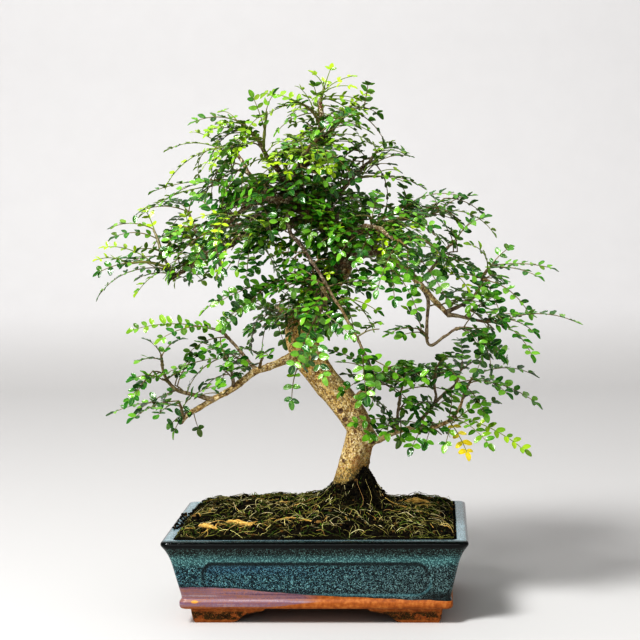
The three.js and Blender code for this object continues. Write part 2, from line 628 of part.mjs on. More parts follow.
// Leafy twigs: each is a thin green shoot with its leaves, set on a woody branch. A row holds the
// branch, how far along it the twig stands, the twig's tip, its number of leaves, their usual length,
// and where the leaves that shape the crown's outline point: each leaf's tip, and how far the blade
// faces the front. The other leaves stand round the twig.
const TWIGS = {
  low_left_rise: [
    "lowLeftRise", 0.9, [-81, -24, 238], 3, 50,
    [[-152, -40, 240, 0.9], [-128, -52, 234, 0.8], [-70, -6, 252, 0.5]],
  ],
  low_left_spur: [
    "lowLeftSpur", 0.85, [-75, -26, 219], 3, 40,
    [[-127, -34, 202, 0.3], [-61, -40, 214, 0.5], [-90, -44, 222, 0.6]],
  ],
  low_left_shoot: [
    "lowLeftFork", 0.95, [-129, -34, 219], 3, 34,
    [[-143, -54, 216, 0.7], [-114, -20, 230, 0.4], [-137, -44, 231, 0.4]],
  ],
  low_left_side: [
    "lowLeftFork", 0.62, [-129, -34, 198], 2, 34,
    [[-103, -50, 206, 0.4], [-149, -50, 201, 0.9]],
  ],
  low_left_tip: [
    "lowLeft", 0.92, [-116, -27, 179], 4, 44,
    [[-79, -50, 194, 0.5], [-169, -40, 171, 0.15], [-128, -66, 172, 0.6], [-150, -55, 168, 0.2]],
  ],
  low_left_near: ["lowLeft", 0.32, [-44, -28, 215], 3, 40, [[-65, -40, 202, 0.4], [-57, -50, 225, 0.3]]],
  low_left_hanging: ["trunk", 0.39, [-17, -20, 203], 2, 30, [[-29, -34, 190, 0.6], [-20, -36, 179, 0.6]]],
  left_centre: [
    "frontMiddle", 0.35, [-41, -50, 276], 5, 50,
    [[-75, -64, 245, 0.9], [-77, -70, 264, 0.9], [-50, -78, 262, 0.6]],
  ],
  left_limb_near: ["leftLimb", 0.36, [-55, -13, 307], 5, 50, [[-64, -30, 289, 0.6], [-47, -34, 290, 0.6]]],
  left_limb_end: [
    "leftLimb", 0.95, [-141, 26, 288], 4, 52,
    [[-102, -10, 282, 0.7], [-153, 0, 269, 0.1], [-190, 20, 265, 0.15]],
  ],
  left_limb_shoot: [
    "leftLimbShoot", 0.3, [-163, 4, 293], 3, 36,
    [[-183, 10, 307, 0.6], [-186, 0, 286, 0.8], [-183, -20, 298, 0.6]],
  ],
  left_limb_rise: [
    "leftLimbShoot", 0.95, [-141, 16, 322], 3, 44,
    [[-172, 0, 316, 0.3], [-153, 40, 339, 0.3], [-176, 20, 324, 0.3]],
  ],
  left_limb_crown: ["leftLimbRise", 0.92, [-114, 30, 338], 5, 44, [[-106, 54, 302, 0.2]]],
  left_rear_side: [
    "leftRear", 0.5, [-94, 22, 357], 3, 46,
    [[-131, 10, 345, 0.2], [-142, 30, 354, 0.2], [-155, 44, 334, 0.3]],
  ],
  left_rear_end: [
    "leftRear", 0.95, [-90, 42, 390], 4, 46,
    [[-130, 30, 360, 0.2], [-104, 30, 404, 0.3], [-131, 50, 390, 0.2]],
  ],
  left_upper_end: [
    "leftUpper", 0.95, [-62, -34, 412], 3, 44,
    [[-83, -60, 401, 0.2], [-95, -50, 411, 0.15], [-75, -20, 420, 0.2]],
  ],
  left_upper_side: [
    "leftUpper", 0.6, [-37, -30, 419], 3, 30,
    [[-48, -36, 431, 0.6], [-31, -34, 433, 0.6], [-60, -54, 386, 0.3]],
  ],
  top: [
    "trunk", 0.99, [9, 0, 440], 4, 26,
    [[32, -14, 439, 0.5], [31, 4, 448, 0.4], [1, -4, 450, 0.5], [14, 6, 455, 0.4]],
  ],
  top_side: ["trunk", 0.93, [-8, -15, 425], 5, 42, [[-10, -24, 438, 0.5], [-22, 26, 414, 0.3]]],
  right_upper_end: ["rightUpper", 0.95, [31, 27, 425], 3, 26, [[41, 30, 430, 0.2], [42, 8, 419, 0.2]]],
  right_inner_end: ["rightInner", 0.95, [52, 34, 386], 4, 38, [[63, 46, 393, 0.4], [74, 26, 383, 0.3]]],
  right_inner_side: [
    "rightInner", 0.45, [54, 8, 364], 4, 44,
    [[57, 0, 381, 0.5], [76, -4, 359, 0.4], [68, 14, 369, 0.4]],
  ],
  right_shelf_end: [
    "rightShelf", 0.95, [107, 47, 333], 4, 46,
    [[118, 34, 325, 0.3], [100, 62, 344, 0.3], [131, 50, 346, 0.2]],
  ],
  right_shelf_side: ["rightShelf", 0.55, [78, 10, 340], 5, 50, [[75, -20, 344, 0.3]]],
  arch_lift: [
    "archLift", 0.95, [118, -12, 309], 3, 44,
    [[104, -40, 313, 0.5], [130, -2, 325, 0.7], [141, -22, 329, 0.3]],
  ],
  arch_far: [
    "archFar", 0.95, [147, -20, 289], 4, 48,
    [[129, -44, 308, 0.5], [184, -46, 281, 0.2], [161, -14, 303, 0.3], [196, -30, 287, 0.1]],
  ],
  arch_far_side: ["archFar", 0.7, [145, -34, 277], 3, 42, [[155, -50, 245, 1.5]]],
  arch_tip: [
    "archTip", 0.95, [153, -54, 243], 4, 52,
    [[179, -74, 238, 0.3], [179, -40, 252, 0.3], [213, -60, 245, 0.1]],
  ],
  arch_drop_end: ["archDrop", 0.96, [127, -62, 240], 3, 44, [[135, -92, 230, 0.6], [152, -76, 219, 0.9]]],
  arch_drop_side: ["archDrop", 0.45, [86, -54, 240], 3, 36, [[73, -64, 236, 0.7], [78, -62, 256, 0.6]]],
  arch_under: ["archRight", 0.42, [64, -40, 288], 4, 44, [[43, -56, 287, 0.8], [67, -62, 264, 1]]],
  arch_middle: ["archRight", 0.6, [92, -42, 295], 4, 52, [[83, -64, 274, 0.8]]],
  arch_top: ["archRight", 0.22, [60, -42, 320], 5, 50, []],
  front_middle_end: ["frontMiddle", 0.95, [4, -92, 250], 6, 50, []],
  front_right_end: ["frontRight", 0.95, [78, -102, 309], 4, 52, []],
  front_left_end: ["frontLeft", 0.95, [-74, -104, 324], 6, 52, [[-60, -58, 360, 0.3], [-92, -66, 350, 0.3]]],
  front_top_end: ["frontTop", 0.95, [4, -68, 392], 5, 46, []],
  hanging_end: ["hangingTwig", 0.97, [42, -66, 219], 4, 44, [[52, -74, 200, 0.6]]],
  low_right_end: [
    "lowRight", 0.96, [131, -22, 197], 4, 50,
    [[140, -44, 168, 0.3], [158, -50, 186, 0.4], [183, -30, 175, 0.3]],
  ],
  low_right_side: ["lowRight", 0.78, [117, -30, 162], 3, 42, [[107, -46, 143, 0.7], [173, -50, 138, 0.9]]],
  low_right_under: ["lowRight", 0.6, [91, -28, 159], 3, 34, [[91, -46, 145, 0.7], [76, -40, 152, 0.6]]],
  low_right_base: ["lowRight", 0.28, [62, -30, 161], 3, 36, [[44, -46, 151, 0.8]]],
  low_right_spur: ["lowRightSpur", 0.9, [72, -24, 190], 4, 52, []],
  low_right_rise: ["lowRightRise", 0.95, [122, 14, 200], 4, 44, []],
  low_right_middle: ["lowRightTwig", 0.9, [100, -33, 207], 4, 40, [[110, -44, 219, 0.3]]],
  burl_shoot: ["burlShoot", 0.95, [62, -36, 207], 4, 42, [[38, -54, 181, 0.7], [94, -56, 197, 0.6]]],
  rear_low_end: ["rearLow", 0.95, [-50, 104, 246], 4, 54, [[-12, 84, 244, 0.2]]],
  rear_right_end: ["rearRight", 0.95, [74, 106, 290], 4, 54, [[30, 88, 304, 0.2]]],
  rear_middle_end: [
    "rearMiddle", 0.95, [-2, 112, 335], 5, 54,
    [[30, 66, 350, 0.2], [-26, 78, 352, 0.2]],
  ],
  rear_left_end: ["rearLeft", 0.95, [-92, 98, 317], 5, 54, [[-50, 78, 350, 0.2], [-96, 58, 322, 0.2]]],
  rear_top_end: ["rearTop", 0.95, [-2, 70, 396], 5, 46, [[-24, 34, 364, 0.2], [16, 34, 372, 0.2]]],
};

// One leaf that has turned yellow hangs straight from the low right branch.
const YELLOW_LEAF = ["lowRight", 0.72, [125, -36, 135, 0.9]];
const YELLOW_INDEX = 99;

const TWIG_RADIUS = [1.5, 1.1, 0.85];
const TWIG_STEPS = 2;
const LEAF_TRIES = 30;
const JOINED_AT_BASE = 4; // mm3 that two leaves of one twig may share where their stalks meet
const GOLDEN_ANGLE = 2.399963;

function twigCurve([limbName, at, tip]) {
  const start = limbNamed(limbName).curve.getPoint(at);
  const end = new Vector3(...tip);
  const middle = start.clone().lerp(end, 0.5);
  middle.z += 0.08 * start.distanceTo(end);
  return smoothCurve([start, middle, end].map((p) => p.toArray()));
}

// Where one leaf of a twig grows and how it is held. An aimed leaf runs to its own tip. The others
// stand round the shoot by the golden angle, lean outwards along it, rise a little and arch over.
// Each further try turns the leaf another way.
function leafPlace(twigIndex, row, curve, leafIndex, attempt) {
  const [, , , count, usualLength, aims] = row;
  const draw = (k) => chance(twigIndex, leafIndex, attempt, k) - 0.5;
  const share = count > 1 ? leafIndex / (count - 1) : 1;
  const t = THREE.MathUtils.lerp(0.4, 0.98, share);
  const base = curve.getPoint(t);
  const tangent = curve.getTangent(t);
  const arch = 0.8 + 0.7 * draw(6);
  const heading = new Vector3();
  let length = usualLength * (1 + 0.3 * draw(5));
  let facing = 0.2;
  if (leafIndex < aims.length) {
    const [x, y, z, front] = aims[leafIndex];
    const spread = 1.5 * attempt;
    const tip = new Vector3(x + spread * draw(1), y + 2 * spread * draw(2), z + spread * draw(3));
    facing = front;
    heading.copy(tip).sub(base);
    const chord = heading.length();
    length = (chord * arch) / 2 / Math.sin(arch / 2);
    heading.normalize();
  } else {
    const level = new Vector3(-tangent.y, tangent.x, 0);
    if (level.length() < 0.2) level.set(base.y - TRUNK_FOOT.y, TRUNK_FOOT.x - base.x, 0);
    level.normalize();
    const upward = new Vector3().crossVectors(level, tangent).normalize();
    const turn = leafIndex * GOLDEN_ANGLE + twigIndex + draw(1) * (1 + 0.2 * attempt);
    const open = THREE.MathUtils.lerp(1.15, 0.45, share) + 0.5 * draw(2);
    heading
      .addScaledVector(tangent, Math.cos(open))
      .addScaledVector(level, Math.sin(open) * Math.cos(turn))
      .addScaledVector(upward, 0.6 * Math.sin(open) * Math.sin(turn));
    heading.z = 0.7 * heading.z + 0.1 + 0.4 * draw(3);
    heading.normalize();
  }
  const outward = new Vector3(base.x - 5, base.y, 0).normalize();
  const normal = new Vector3(0, -facing, 1).addScaledVector(outward, 0.25);
  normal.addScaledVector(heading, -normal.dot(heading)).normalize();
  normal.applyAxisAngle(heading, (leafIndex < aims.length ? 0.4 : 1.1) * draw(4));
  // The chord of an aimed leaf points at its tip, so its base starts half the arch higher.
  if (leafIndex < aims.length) {
    const side = new Vector3().crossVectors(heading, normal);
    heading.applyAxisAngle(side, arch / 2);
    normal.applyAxisAngle(side, arch / 2);
  }
  const pairs = length > 75 ? 4 : length > 60 ? 3 : length > 40 ? 2 : 1;
  return { base, heading, normal, length, arch, pairs };
}

// Every leaf is tried in turn until it stands clear of all wood, other twigs and other leaves.
function growTwigs(wood, soil) {
  const rows = Object.entries(TWIGS).map(([name, row], index) => {
    const curve = twigCurve(row);
    const stem = taperedTube(curve, (t) => along(TWIG_RADIUS, t), 3, TWIG_STEPS);
    return { name: "twig_" + name, row, index, curve, parts: [stem] };
  });
  const [limbName, at, aim] = YELLOW_LEAF;
  const joint = limbNamed(limbName).curve.getPoint(at);
  const stub = new THREE.LineCurve3(joint, joint.clone().add(new Vector3(0, 0, -0.5)));
  const yellowRow = [limbName, at, aim, 1, 0, [aim]];
  rows.unshift({ name: "yellow_leaf", row: yellowRow, index: YELLOW_INDEX, curve: stub, parts: [] });

  const obstacles = [wood, soil].map((solid) => ({ solid, box: solid.boundingBox() }));
  for (const { parts, name } of rows)
    for (const stem of parts) obstacles.push({ solid: stem, box: stem.boundingBox(), name, isStem: true });
  const boxesMeet = (a, b) => [0, 1, 2].every((k) => a.min[k] <= b.max[k] && b.min[k] <= a.max[k]);
  const blocked = (leaf, box, twig) =>
    obstacles.some((other) => {
      if (!boxesMeet(box, other.box)) return false;
      if (!twig.parts.length && other.solid === wood) return false;
      if (other.name !== twig.name) return !leaf.intersect(other.solid).isEmpty();
      return !other.isStem && leaf.intersect(other.solid).volume() > JOINED_AT_BASE;
    });
  const turns = Math.max(...rows.map(({ row }) => row[3]));
  let missing = 0;
  for (let leafIndex = 0; leafIndex < turns; leafIndex++)
    for (const twig of rows) {
      if (leafIndex >= twig.row[3]) continue;
      let placed = false;
      for (let attempt = 0; attempt < LEAF_TRIES && !placed; attempt++) {
        const place = leafPlace(twig.index, twig.row, twig.curve, leafIndex, attempt);
        const guard = leafSolid(place, CLEARANCE);
        const box = guard.boundingBox();
        if (blocked(guard, box, twig)) continue;
        placed = true;
        obstacles.push({ solid: guard, box, name: twig.name });
        twig.parts.push(leafSolid(place));
      }
      if (!placed) missing++;
    }
  if (missing) console.log(missing + " leaves found no clear place");
  return rows;
}

// Assembly
const bonsai = new THREE.Group();

bonsai.add(meshFrom(makePot(), "pot", GLAZE));
const screens = [makeScreen(-DRAIN.x), makeScreen(DRAIN.x)];
bonsai.add(meshFrom(screens[0], "drain_screen_left", SCREEN_PLASTIC));
bonsai.add(meshFrom(screens[1], "drain_screen_right", SCREEN_PLASTIC));

const soil = makeSoil(screens, Object.values(SURFACE_ROOTS).map(rootTrench));
bonsai.add(meshFrom(soil, "soil", DARK_SOIL));
for (const [name, row] of Object.entries(SURFACE_ROOTS))
  bonsai.add(meshFrom(rootSolid(row), name, ROOT_SKIN));

const wood = unionOf([...LIMBS.map((limb) => limbSolid(limb)), ...KNOTS.map((row) => knotSolid(row))]);
const woodGap = woodWithClearance();
bonsai.add(meshFrom(wood.simplify(SLIVER), "trunk", BARK));

for (const { name, parts } of growTwigs(wood, soil)) {
  const body = unionOf(parts).subtract(woodGap).simplify(SLIVER);
  bonsai.add(meshFrom(body, name, name === "yellow_leaf" ? LEAF_YELLOW : LEAF_GREEN));
}

const bounds = new THREE.Box3().setFromObject(bonsai);
const middle = bounds.getCenter(new Vector3());
bonsai.position.set(-middle.x, -middle.y, -bounds.min.z);

export default bonsai;
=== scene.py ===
# Looks of a Japanese pepper bonsai in its glazed pot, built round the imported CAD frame.
# Shapes are worked out in millimetres about the middle of the pot at the level that its feet stand
# on, with the front of the pot towards -Y, and placed in the frame in metres.
import json
import math

import bpy
import numpy as np
from mathutils import Matrix, Vector

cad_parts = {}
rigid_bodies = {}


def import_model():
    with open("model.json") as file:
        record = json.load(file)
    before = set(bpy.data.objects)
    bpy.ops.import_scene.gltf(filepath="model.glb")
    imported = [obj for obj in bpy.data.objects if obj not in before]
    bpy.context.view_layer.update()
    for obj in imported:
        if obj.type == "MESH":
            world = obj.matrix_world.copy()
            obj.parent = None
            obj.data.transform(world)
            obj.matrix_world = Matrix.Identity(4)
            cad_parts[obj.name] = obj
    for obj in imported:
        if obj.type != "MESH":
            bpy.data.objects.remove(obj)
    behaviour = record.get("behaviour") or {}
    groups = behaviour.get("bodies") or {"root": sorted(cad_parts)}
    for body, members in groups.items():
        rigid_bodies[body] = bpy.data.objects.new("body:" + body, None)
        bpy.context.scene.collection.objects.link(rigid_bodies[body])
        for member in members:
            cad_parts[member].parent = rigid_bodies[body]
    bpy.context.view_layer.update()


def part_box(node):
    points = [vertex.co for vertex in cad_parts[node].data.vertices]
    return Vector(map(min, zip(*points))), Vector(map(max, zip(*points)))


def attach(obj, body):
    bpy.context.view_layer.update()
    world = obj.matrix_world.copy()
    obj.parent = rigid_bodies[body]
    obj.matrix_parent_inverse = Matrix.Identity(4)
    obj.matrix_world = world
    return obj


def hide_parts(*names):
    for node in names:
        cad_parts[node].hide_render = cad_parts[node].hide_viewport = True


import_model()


# Pot
# One piece of slip-cast stoneware: a flared rectangular body with a rolled rim, a sunk panel on each
# wall, a raised band round its foot and four L-shaped corner feet. The body is a profile carried
# round a rounded rectangle; the feet are joined to it and the drain holes are cut through.
pot_low, pot_high = (1000 * np.array(corner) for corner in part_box("pot"))
POT_MIDDLE = np.array([*(pot_low + pot_high)[:2] / 2, 0.0])
HALF_X, HALF_Y = (pot_high - pot_low)[:2] / 2
RIM_TOP = pot_high[2]
FLOOR_TOP = 20
WALL = 10
WALL_FOOT, WALL_SHOULDER = (22.5, 15), (52, 8)
POT_CORNER = 6
# Height and how far the wall lies inside the rim's outer edge, from the underside up and over the rim.
POT_PROFILE = [
    (13, 22), (13, 15.6), (14.5, 13.4), (17, 12.9), (19.5, 13), (21, 14.4), WALL_FOOT, (37, 11.5),
    WALL_SHOULDER, (58, 6), (63, 3.6), (66, 1.6), (68, 0.2), (69.6, 0), (71.2, 0.9), (RIM_TOP - 0.3, 2.8),
    (RIM_TOP, 6), (RIM_TOP, 8.6), (71.4, WALL), (69, 11.3), (45, 16), (22, 21.4), (FLOOR_TOP, 24),
]
PANEL_HALF_FRONT, PANEL_HALF_END, PANEL_HALF_HEIGHT = 92, 62, 12.6
PANEL_MIDDLE, PANEL_CORNER, PANEL_SUNK, PANEL_EDGE = 40, 10, 1.5, 2.4
FOOT_X, FOOT_Y, FOOT_THICK = 104, 72, 12
DRAIN_X, DRAIN_RADIUS = 60, 8
# Heights at which the glaze starts to change: the panels' blue to teal, teal to a light band, the band
# back to teal, teal to the shade under the lip, and the shade to the dark lip.
BLUE_TOP, BAND_LOW, BAND_TOP, SHADE_LOW, LIP_LOW = 46, 48, 58, 55, 65
# Where the glaze ends at the front's right end and on the other sides, how far down the wash comes, and
# the middle of the one drip.
GLAZE_END_FRONT, GLAZE_END_OTHERS, WASH_END, DRIP_X, DRIP_Z = 20.4, 21.5, 15.4, -99, 19.6


class Surface:
    """Corners in millimetres, faces of three or four corners, and named numbers on the corners."""

    def __init__(self, corners, faces, **marks):
        self.corners = np.asarray(corners, float).reshape(-1, 3)
        self.faces = [np.asarray(f, int).reshape(-1, f.shape[-1]) for f in faces if f.size]
        self.marks = marks

    @staticmethod
    def joined(surfaces):
        """The surfaces as one, with the same marks, each with its corners counted on from the last."""
        starts = np.cumsum([0] + [len(s.corners) for s in surfaces[:-1]])
        faces = [f + start for s, start in zip(surfaces, starts) for f in s.faces]
        quads = [f for f in faces if f.shape[1] == 4]
        triangles = [f for f in faces if f.shape[1] == 3]
        whole = [np.concatenate(kind) for kind in (quads, triangles) if kind]
        marks = {name: np.concatenate([s.marks[name] for s in surfaces]) for name in surfaces[0].marks}
        return Surface(np.concatenate([s.corners for s in surfaces]), whole, **marks)


def make_piece(name, surface, material, replaced=(), sharp=50):
    """A mesh object of the surface, placed in the frame, smooth but for edges sharper than the angle."""
    mesh = bpy.data.meshes.new(name)
    sizes = np.concatenate([np.full(len(f), f.shape[1]) for f in surface.faces])
    corners_of_faces = np.concatenate([f.ravel() for f in surface.faces])
    mesh.vertices.add(len(surface.corners))
    mesh.vertices.foreach_set("co", ((surface.corners + POT_MIDDLE) / 1000).astype(np.float32).ravel())
    mesh.loops.add(len(corners_of_faces))
    mesh.loops.foreach_set("vertex_index", corners_of_faces.astype(np.int32))
    mesh.polygons.add(len(sizes))
    mesh.polygons.foreach_set("loop_start", (np.cumsum(sizes) - sizes).astype(np.int32))
    mesh.polygons.foreach_set("use_smooth", np.ones(len(sizes), bool))
    mesh.update(calc_edges=True)
    for mark, values in surface.marks.items():
        if mark == "uv":
            layer = mesh.uv_layers.new(name="UVMap")
            layer.data.foreach_set("uv", values[corners_of_faces].astype(np.float32).ravel())
        elif values.ndim == 2:
            attribute = mesh.attributes.new(mark, "FLOAT_VECTOR", "POINT")
            attribute.data.foreach_set("vector", values.astype(np.float32).ravel())
        else:
            attribute = mesh.attributes.new(mark, "FLOAT", "POINT")
            attribute.data.foreach_set("value", values.astype(np.float32))
    mesh.set_sharp_from_angle(angle=math.radians(sharp))
    mesh.materials.append(material)
    piece = bpy.data.objects.new(name, mesh)
    bpy.context.scene.collection.objects.link(piece)
    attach(piece, "root")
    if replaced:
        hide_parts(*replaced)
    return piece


def ring_faces(rings, count):
    """Faces between rings of count corners, wound outwards when the rings turn left as they go along,
    with a fan on one more corner at either end."""
    ring, place = np.mgrid[: rings - 1, :count]
    after = (place + 1) % count
    quads = np.stack([ring * count + place, ring * count + after, (ring + 1) * count + after,
                      (ring + 1) * count + place], axis=-1)
    k = np.arange(count)
    first, last = rings * count, rings * count + 1
    near = np.stack([np.full(count, first), (k + 1) % count, k], axis=-1)
    top = (rings - 1) * count
    far = np.stack([np.full(count, last), top + k, top + (k + 1) % count], axis=-1)
    return quads.reshape(-1, 4), np.concatenate([near, far])


def rounded(profile, rounds=2):
    """Corner cutting: each point gives way to two, a quarter and three quarters along to the next."""
    points = np.array(profile, float)
    for _ in range(rounds):
        cut = np.stack([0.75 * points[:-1] + 0.25 * points[1:], 0.25 * points[:-1] + 0.75 * points[1:]], 1)
        points = np.concatenate([points[:1], cut.reshape(-1, points.shape[1]), points[-1:]])
    return points


def smooth_step(low, high, value):
    """From 0 to 1 between low and high, as 3t^2 - 2t^3."""
    t = np.clip((value - low) / (high - low), 0, 1)
    return t * t * (3 - 2 * t)


def pot_ring(share, inset):
    """Points at shares from 0 to 1 of the way round a rectangle with corner arcs, and the way out from
    it. Distances are walked along side, arc, side, arc, and so on."""
    half_x, half_y = HALF_X - inset, HALF_Y - inset
    radius = np.clip(POT_CORNER - inset / 8, 2, None)
    arc = math.pi / 2 * radius
    sides = np.stack(np.broadcast_arrays(2 * (half_y - radius), arc, 2 * (half_x - radius), arc))
    lengths = np.concatenate([sides, sides])
    ends = np.cumsum(lengths, axis=0)
    walked = share * ends[-1]
    x, y, out_x, out_y = (np.zeros(np.broadcast(share, inset).shape) for _ in range(4))
    for part in range(8):
        start = ends[part] - lengths[part]
        inside = (walked >= start) & (walked <= ends[part])
        along = walked - start
        turn = part // 2 * math.pi / 2
        straight = part % 2 == 0
        reach, half = (half_x, half_y) if part // 2 % 2 == 0 else (half_y, half_x)
        angle = np.where(straight, 0, along / radius)
        across = np.where(straight, reach, reach - radius + radius * np.cos(angle))
        forward = np.where(straight, along - (half - radius), half - radius + radius * np.sin(angle))
        cosine, sine = math.cos(turn), math.sin(turn)
        x = np.where(inside, across * cosine - forward * sine, x)
        y = np.where(inside, across * sine + forward * cosine, y)
        out_x = np.where(inside, np.cos(angle + turn), out_x)
        out_y = np.where(inside, np.sin(angle + turn), out_y)
    return x, y, out_x, out_y


def panel_depth(x, y, z):
    """How far the wall is sunk: the full depth inside a rounded panel, easing out over its edge."""
    on_front = np.abs(y) / HALF_Y > np.abs(x) / HALF_X
    along = np.where(on_front, np.abs(x) - PANEL_HALF_FRONT, np.abs(y) - PANEL_HALF_END) + PANEL_CORNER
    up = np.abs(z - PANEL_MIDDLE) - PANEL_HALF_HEIGHT + PANEL_CORNER
    outside = np.hypot(np.maximum(along, 0), np.maximum(up, 0)) + np.minimum(np.maximum(along, up), 0)
    return PANEL_SUNK * (1 - smooth_step(-PANEL_EDGE, 0.6, outside - PANEL_CORNER))


def pot_body(columns=500):
    """The rounded profile at each of the columns round the pot, less the panels' depth."""
    profile = rounded(POT_PROFILE)
    z, inset = profile[:, :1], profile[:, 1:]
    share = (np.arange(columns) / columns)[None, :]
    x, y, out_x, out_y = pot_ring(share, inset)
    outer_share = 0.6
    on_wall = (np.arange(len(profile)) < outer_share * len(profile))[:, None]
    depth = np.where(on_wall, panel_depth(x, y, z), 0)
    corners = np.stack([x - depth * out_x, y - depth * out_y, z + 0 * x], axis=-1)
    caps = [[0, 0, POT_PROFILE[0][0]], [0, 0, FLOOR_TOP]]
    faces = ring_faces(len(profile), columns)
    return Surface(np.concatenate([corners.reshape(-1, 3), caps]), faces)


def corner_foot(sign_x, sign_y):
    """A foot's wall carried round its corner. Its underside is flat by the corner and steps up to the
    pot's foot at both ends, and its edges are eased."""
    long_end, short_flat, short_end = 40, 44, 22
    bend = 4
    corner = math.pi / 2 * bend
    long_side, short_side = FOOT_X - bend - long_end, FOOT_Y - bend - short_end
    s = np.linspace(0, long_side + corner + short_side, 130)
    angle = np.clip((s - long_side) / bend, 0, math.pi / 2)
    x = long_end + np.minimum(s, long_side) + bend * np.sin(angle)
    y = -FOOT_Y + bend * (1 - np.cos(angle)) + np.maximum(s - long_side - corner, 0)
    out = np.stack([np.sin(angle), -np.cos(angle)], axis=-1)
    steps_at = [0, 3, 10, 19, 25, 29]
    steps_z = [14, 9.6, 8, 6.6, 1.4, 0]
    total = s[-1]
    rise_long = np.interp(s, steps_at, steps_z)
    rise_short = np.interp(total - s, np.array(steps_at) * (short_flat - short_end) / 29, steps_z)
    under = np.convolve(np.pad(np.maximum(rise_long, rise_short), 2, "edge"), np.ones(5) / 5, "valid")
    top = POT_PROFILE[0][0] + 3
    # Across the wall: how far in from the outer face, and the share of the height above the underside.
    section = [(0.4, 1), (0.2, 0.8), (0.9, 0.5), (2.2, 0.12), (3.6, 0), (FOOT_THICK - 1.6, 0),
               (FOOT_THICK, 0.15), (FOOT_THICK, 1)]
    inward = np.array([row[0] for row in section])[None, :]
    share = np.array([row[1] for row in section])[None, :]
    z = under[:, None] + share * (top - under[:, None])
    corners = np.stack([x[:, None] - inward * out[:, :1], y[:, None] - inward * out[:, 1:], z], axis=-1)
    middles = corners[[0, -1]].mean(axis=1)
    faces = ring_faces(len(s), len(section))
    points = np.concatenate([corners.reshape(-1, 3), middles])
    points *= [sign_x, -sign_y, 1]
    if sign_x * sign_y > 0:
        faces = [f[:, ::-1] for f in faces]
    return Surface(points, faces)


def drain_bore(x):
    """A round plug through the pot's floor, from below it to above it."""
    low, high = 8, 30
    angle = np.linspace(0, 2 * math.pi, 48, endpoint=False)
    rings = [np.stack([x + DRAIN_RADIUS * np.cos(angle), DRAIN_RADIUS * np.sin(angle), 0 * angle + z], -1)
             for z in (low, high)]
    points = np.concatenate([*rings, [[x, 0, low], [x, 0, high]]])
    return Surface(points, ring_faces(2, 48))


class Socket:
    """One output of a material's nodes, so that sums on it read as Python: each adds its Math node."""

    def __init__(self, tree, output=None):
        self.tree = tree
        self.output = output

    def node(self, kind, settings=None, inputs=None, output=0):
        """Adds any node: its settings first, then a value or a link on each named input."""
        made = self.tree.nodes.new(kind)
        for name, value in (settings or {}).items():
            if name == "stops":
                elements = made.color_ramp.elements
                for spot, (place, colour) in zip((elements[0], elements[-1]), (value[0], value[-1])):
                    spot.position, spot.color = place, (*colour, 1)
                for place, colour in value[1:-1]:
                    elements.new(place).color = (*colour, 1)
            else:
                setattr(made, name, value)
        for name, value in (inputs or {}).items():
            if isinstance(value, Socket):
                self.tree.links.new(value.output, made.inputs[name])
            elif isinstance(value, tuple) and made.inputs[name].type == "RGBA":
                made.inputs[name].default_value = (*value, 1)
            else:
                made.inputs[name].default_value = value
        return Socket(self.tree, made.outputs[output] if len(made.outputs) else None)

    def maths(self, operation, *others):
        """This value and any others through one Math node."""
        return self.node("ShaderNodeMath", {"operation": operation}, dict(enumerate((self, *others))))

    def __add__(self, other):
        return self.maths("ADD", other)

    def __sub__(self, other):
        return self.maths("SUBTRACT", other)

    def __rsub__(self, other):
        return self.node("ShaderNodeMath", {"operation": "SUBTRACT"}, {0: other, 1: self})

    def __mul__(self, other):
        return self.maths("MULTIPLY", other)

    def __truediv__(self, other):
        return self.maths("DIVIDE", other)

    def __abs__(self):
        return self.maths("ABSOLUTE")

    __radd__ = __add__
    __rmul__ = __mul__

    def step(self, low, high):
        """From 0 to 1 as this value goes from low to high."""
        return self.node("ShaderNodeMapRange", {"interpolation_type": "SMOOTHSTEP"},
                         {"Value": self, "From Min": low, "From Max": high})

    def mark(self, name, output=2):
        """The number that the mesh's mark of this name holds at each place, or from output 1 a vector."""
        return self.node("ShaderNodeAttribute", {"attribute_name": name}, output=output)

    def vector(self, operation, other, output=0):
        """This vector and another through one Vector Math node."""
        return self.node("ShaderNodeVectorMath", {"operation": operation}, {0: self, 1: other}, output)

    def noise(self, scale, detail=3.0, roughness=0.55):
        """Smooth noise from 0 to 1 at this place, with so many waves to the millimetre."""
        return self.node("ShaderNodeTexNoise", {}, {"Vector": self, "Scale": scale, "Detail": detail,
                                                    "Roughness": roughness})

    def cells(self, scale):
        """A random value from 0 to 1 for each cell of a Voronoi pattern."""
        return self.node("ShaderNodeTexVoronoi", {}, {"Vector": self, "Scale": scale}, 1).split()[0]

    def ramp(self, *stops):
        """The colour that the stops, each a value and a colour, give for this value."""
        return self.node("ShaderNodeValToRGB", {"stops": stops}, {"Fac": self})

    def mix(self, first, second):
        """Between two colours by this value."""
        return self.node("ShaderNodeMix", {"data_type": "RGBA", "clamp_factor": True},
                         {0: self, 6: first, 7: second}, 2)

    def split(self):
        """The three parts of this vector or colour."""
        made = self.node("ShaderNodeSeparateXYZ", {}, {0: self})
        return tuple(Socket(self.tree, made.output.node.outputs[k]) for k in range(3))

    def bump(self, strength, distance):
        """A normal that takes this value as a height of up to the distance, in metres."""
        return self.node("ShaderNodeBump", {}, {"Height": self, "Strength": strength, "Distance": distance})


def paint(red, green, blue):
    """A colour as the eye sees it, from 0 to 255, as the linear light that a shader takes."""
    seen = np.array([red, green, blue]) / 255
    return tuple(float(v) for v in np.where(seen < 0.04045, seen / 12.92, ((seen + 0.055) / 1.055) ** 2.4))


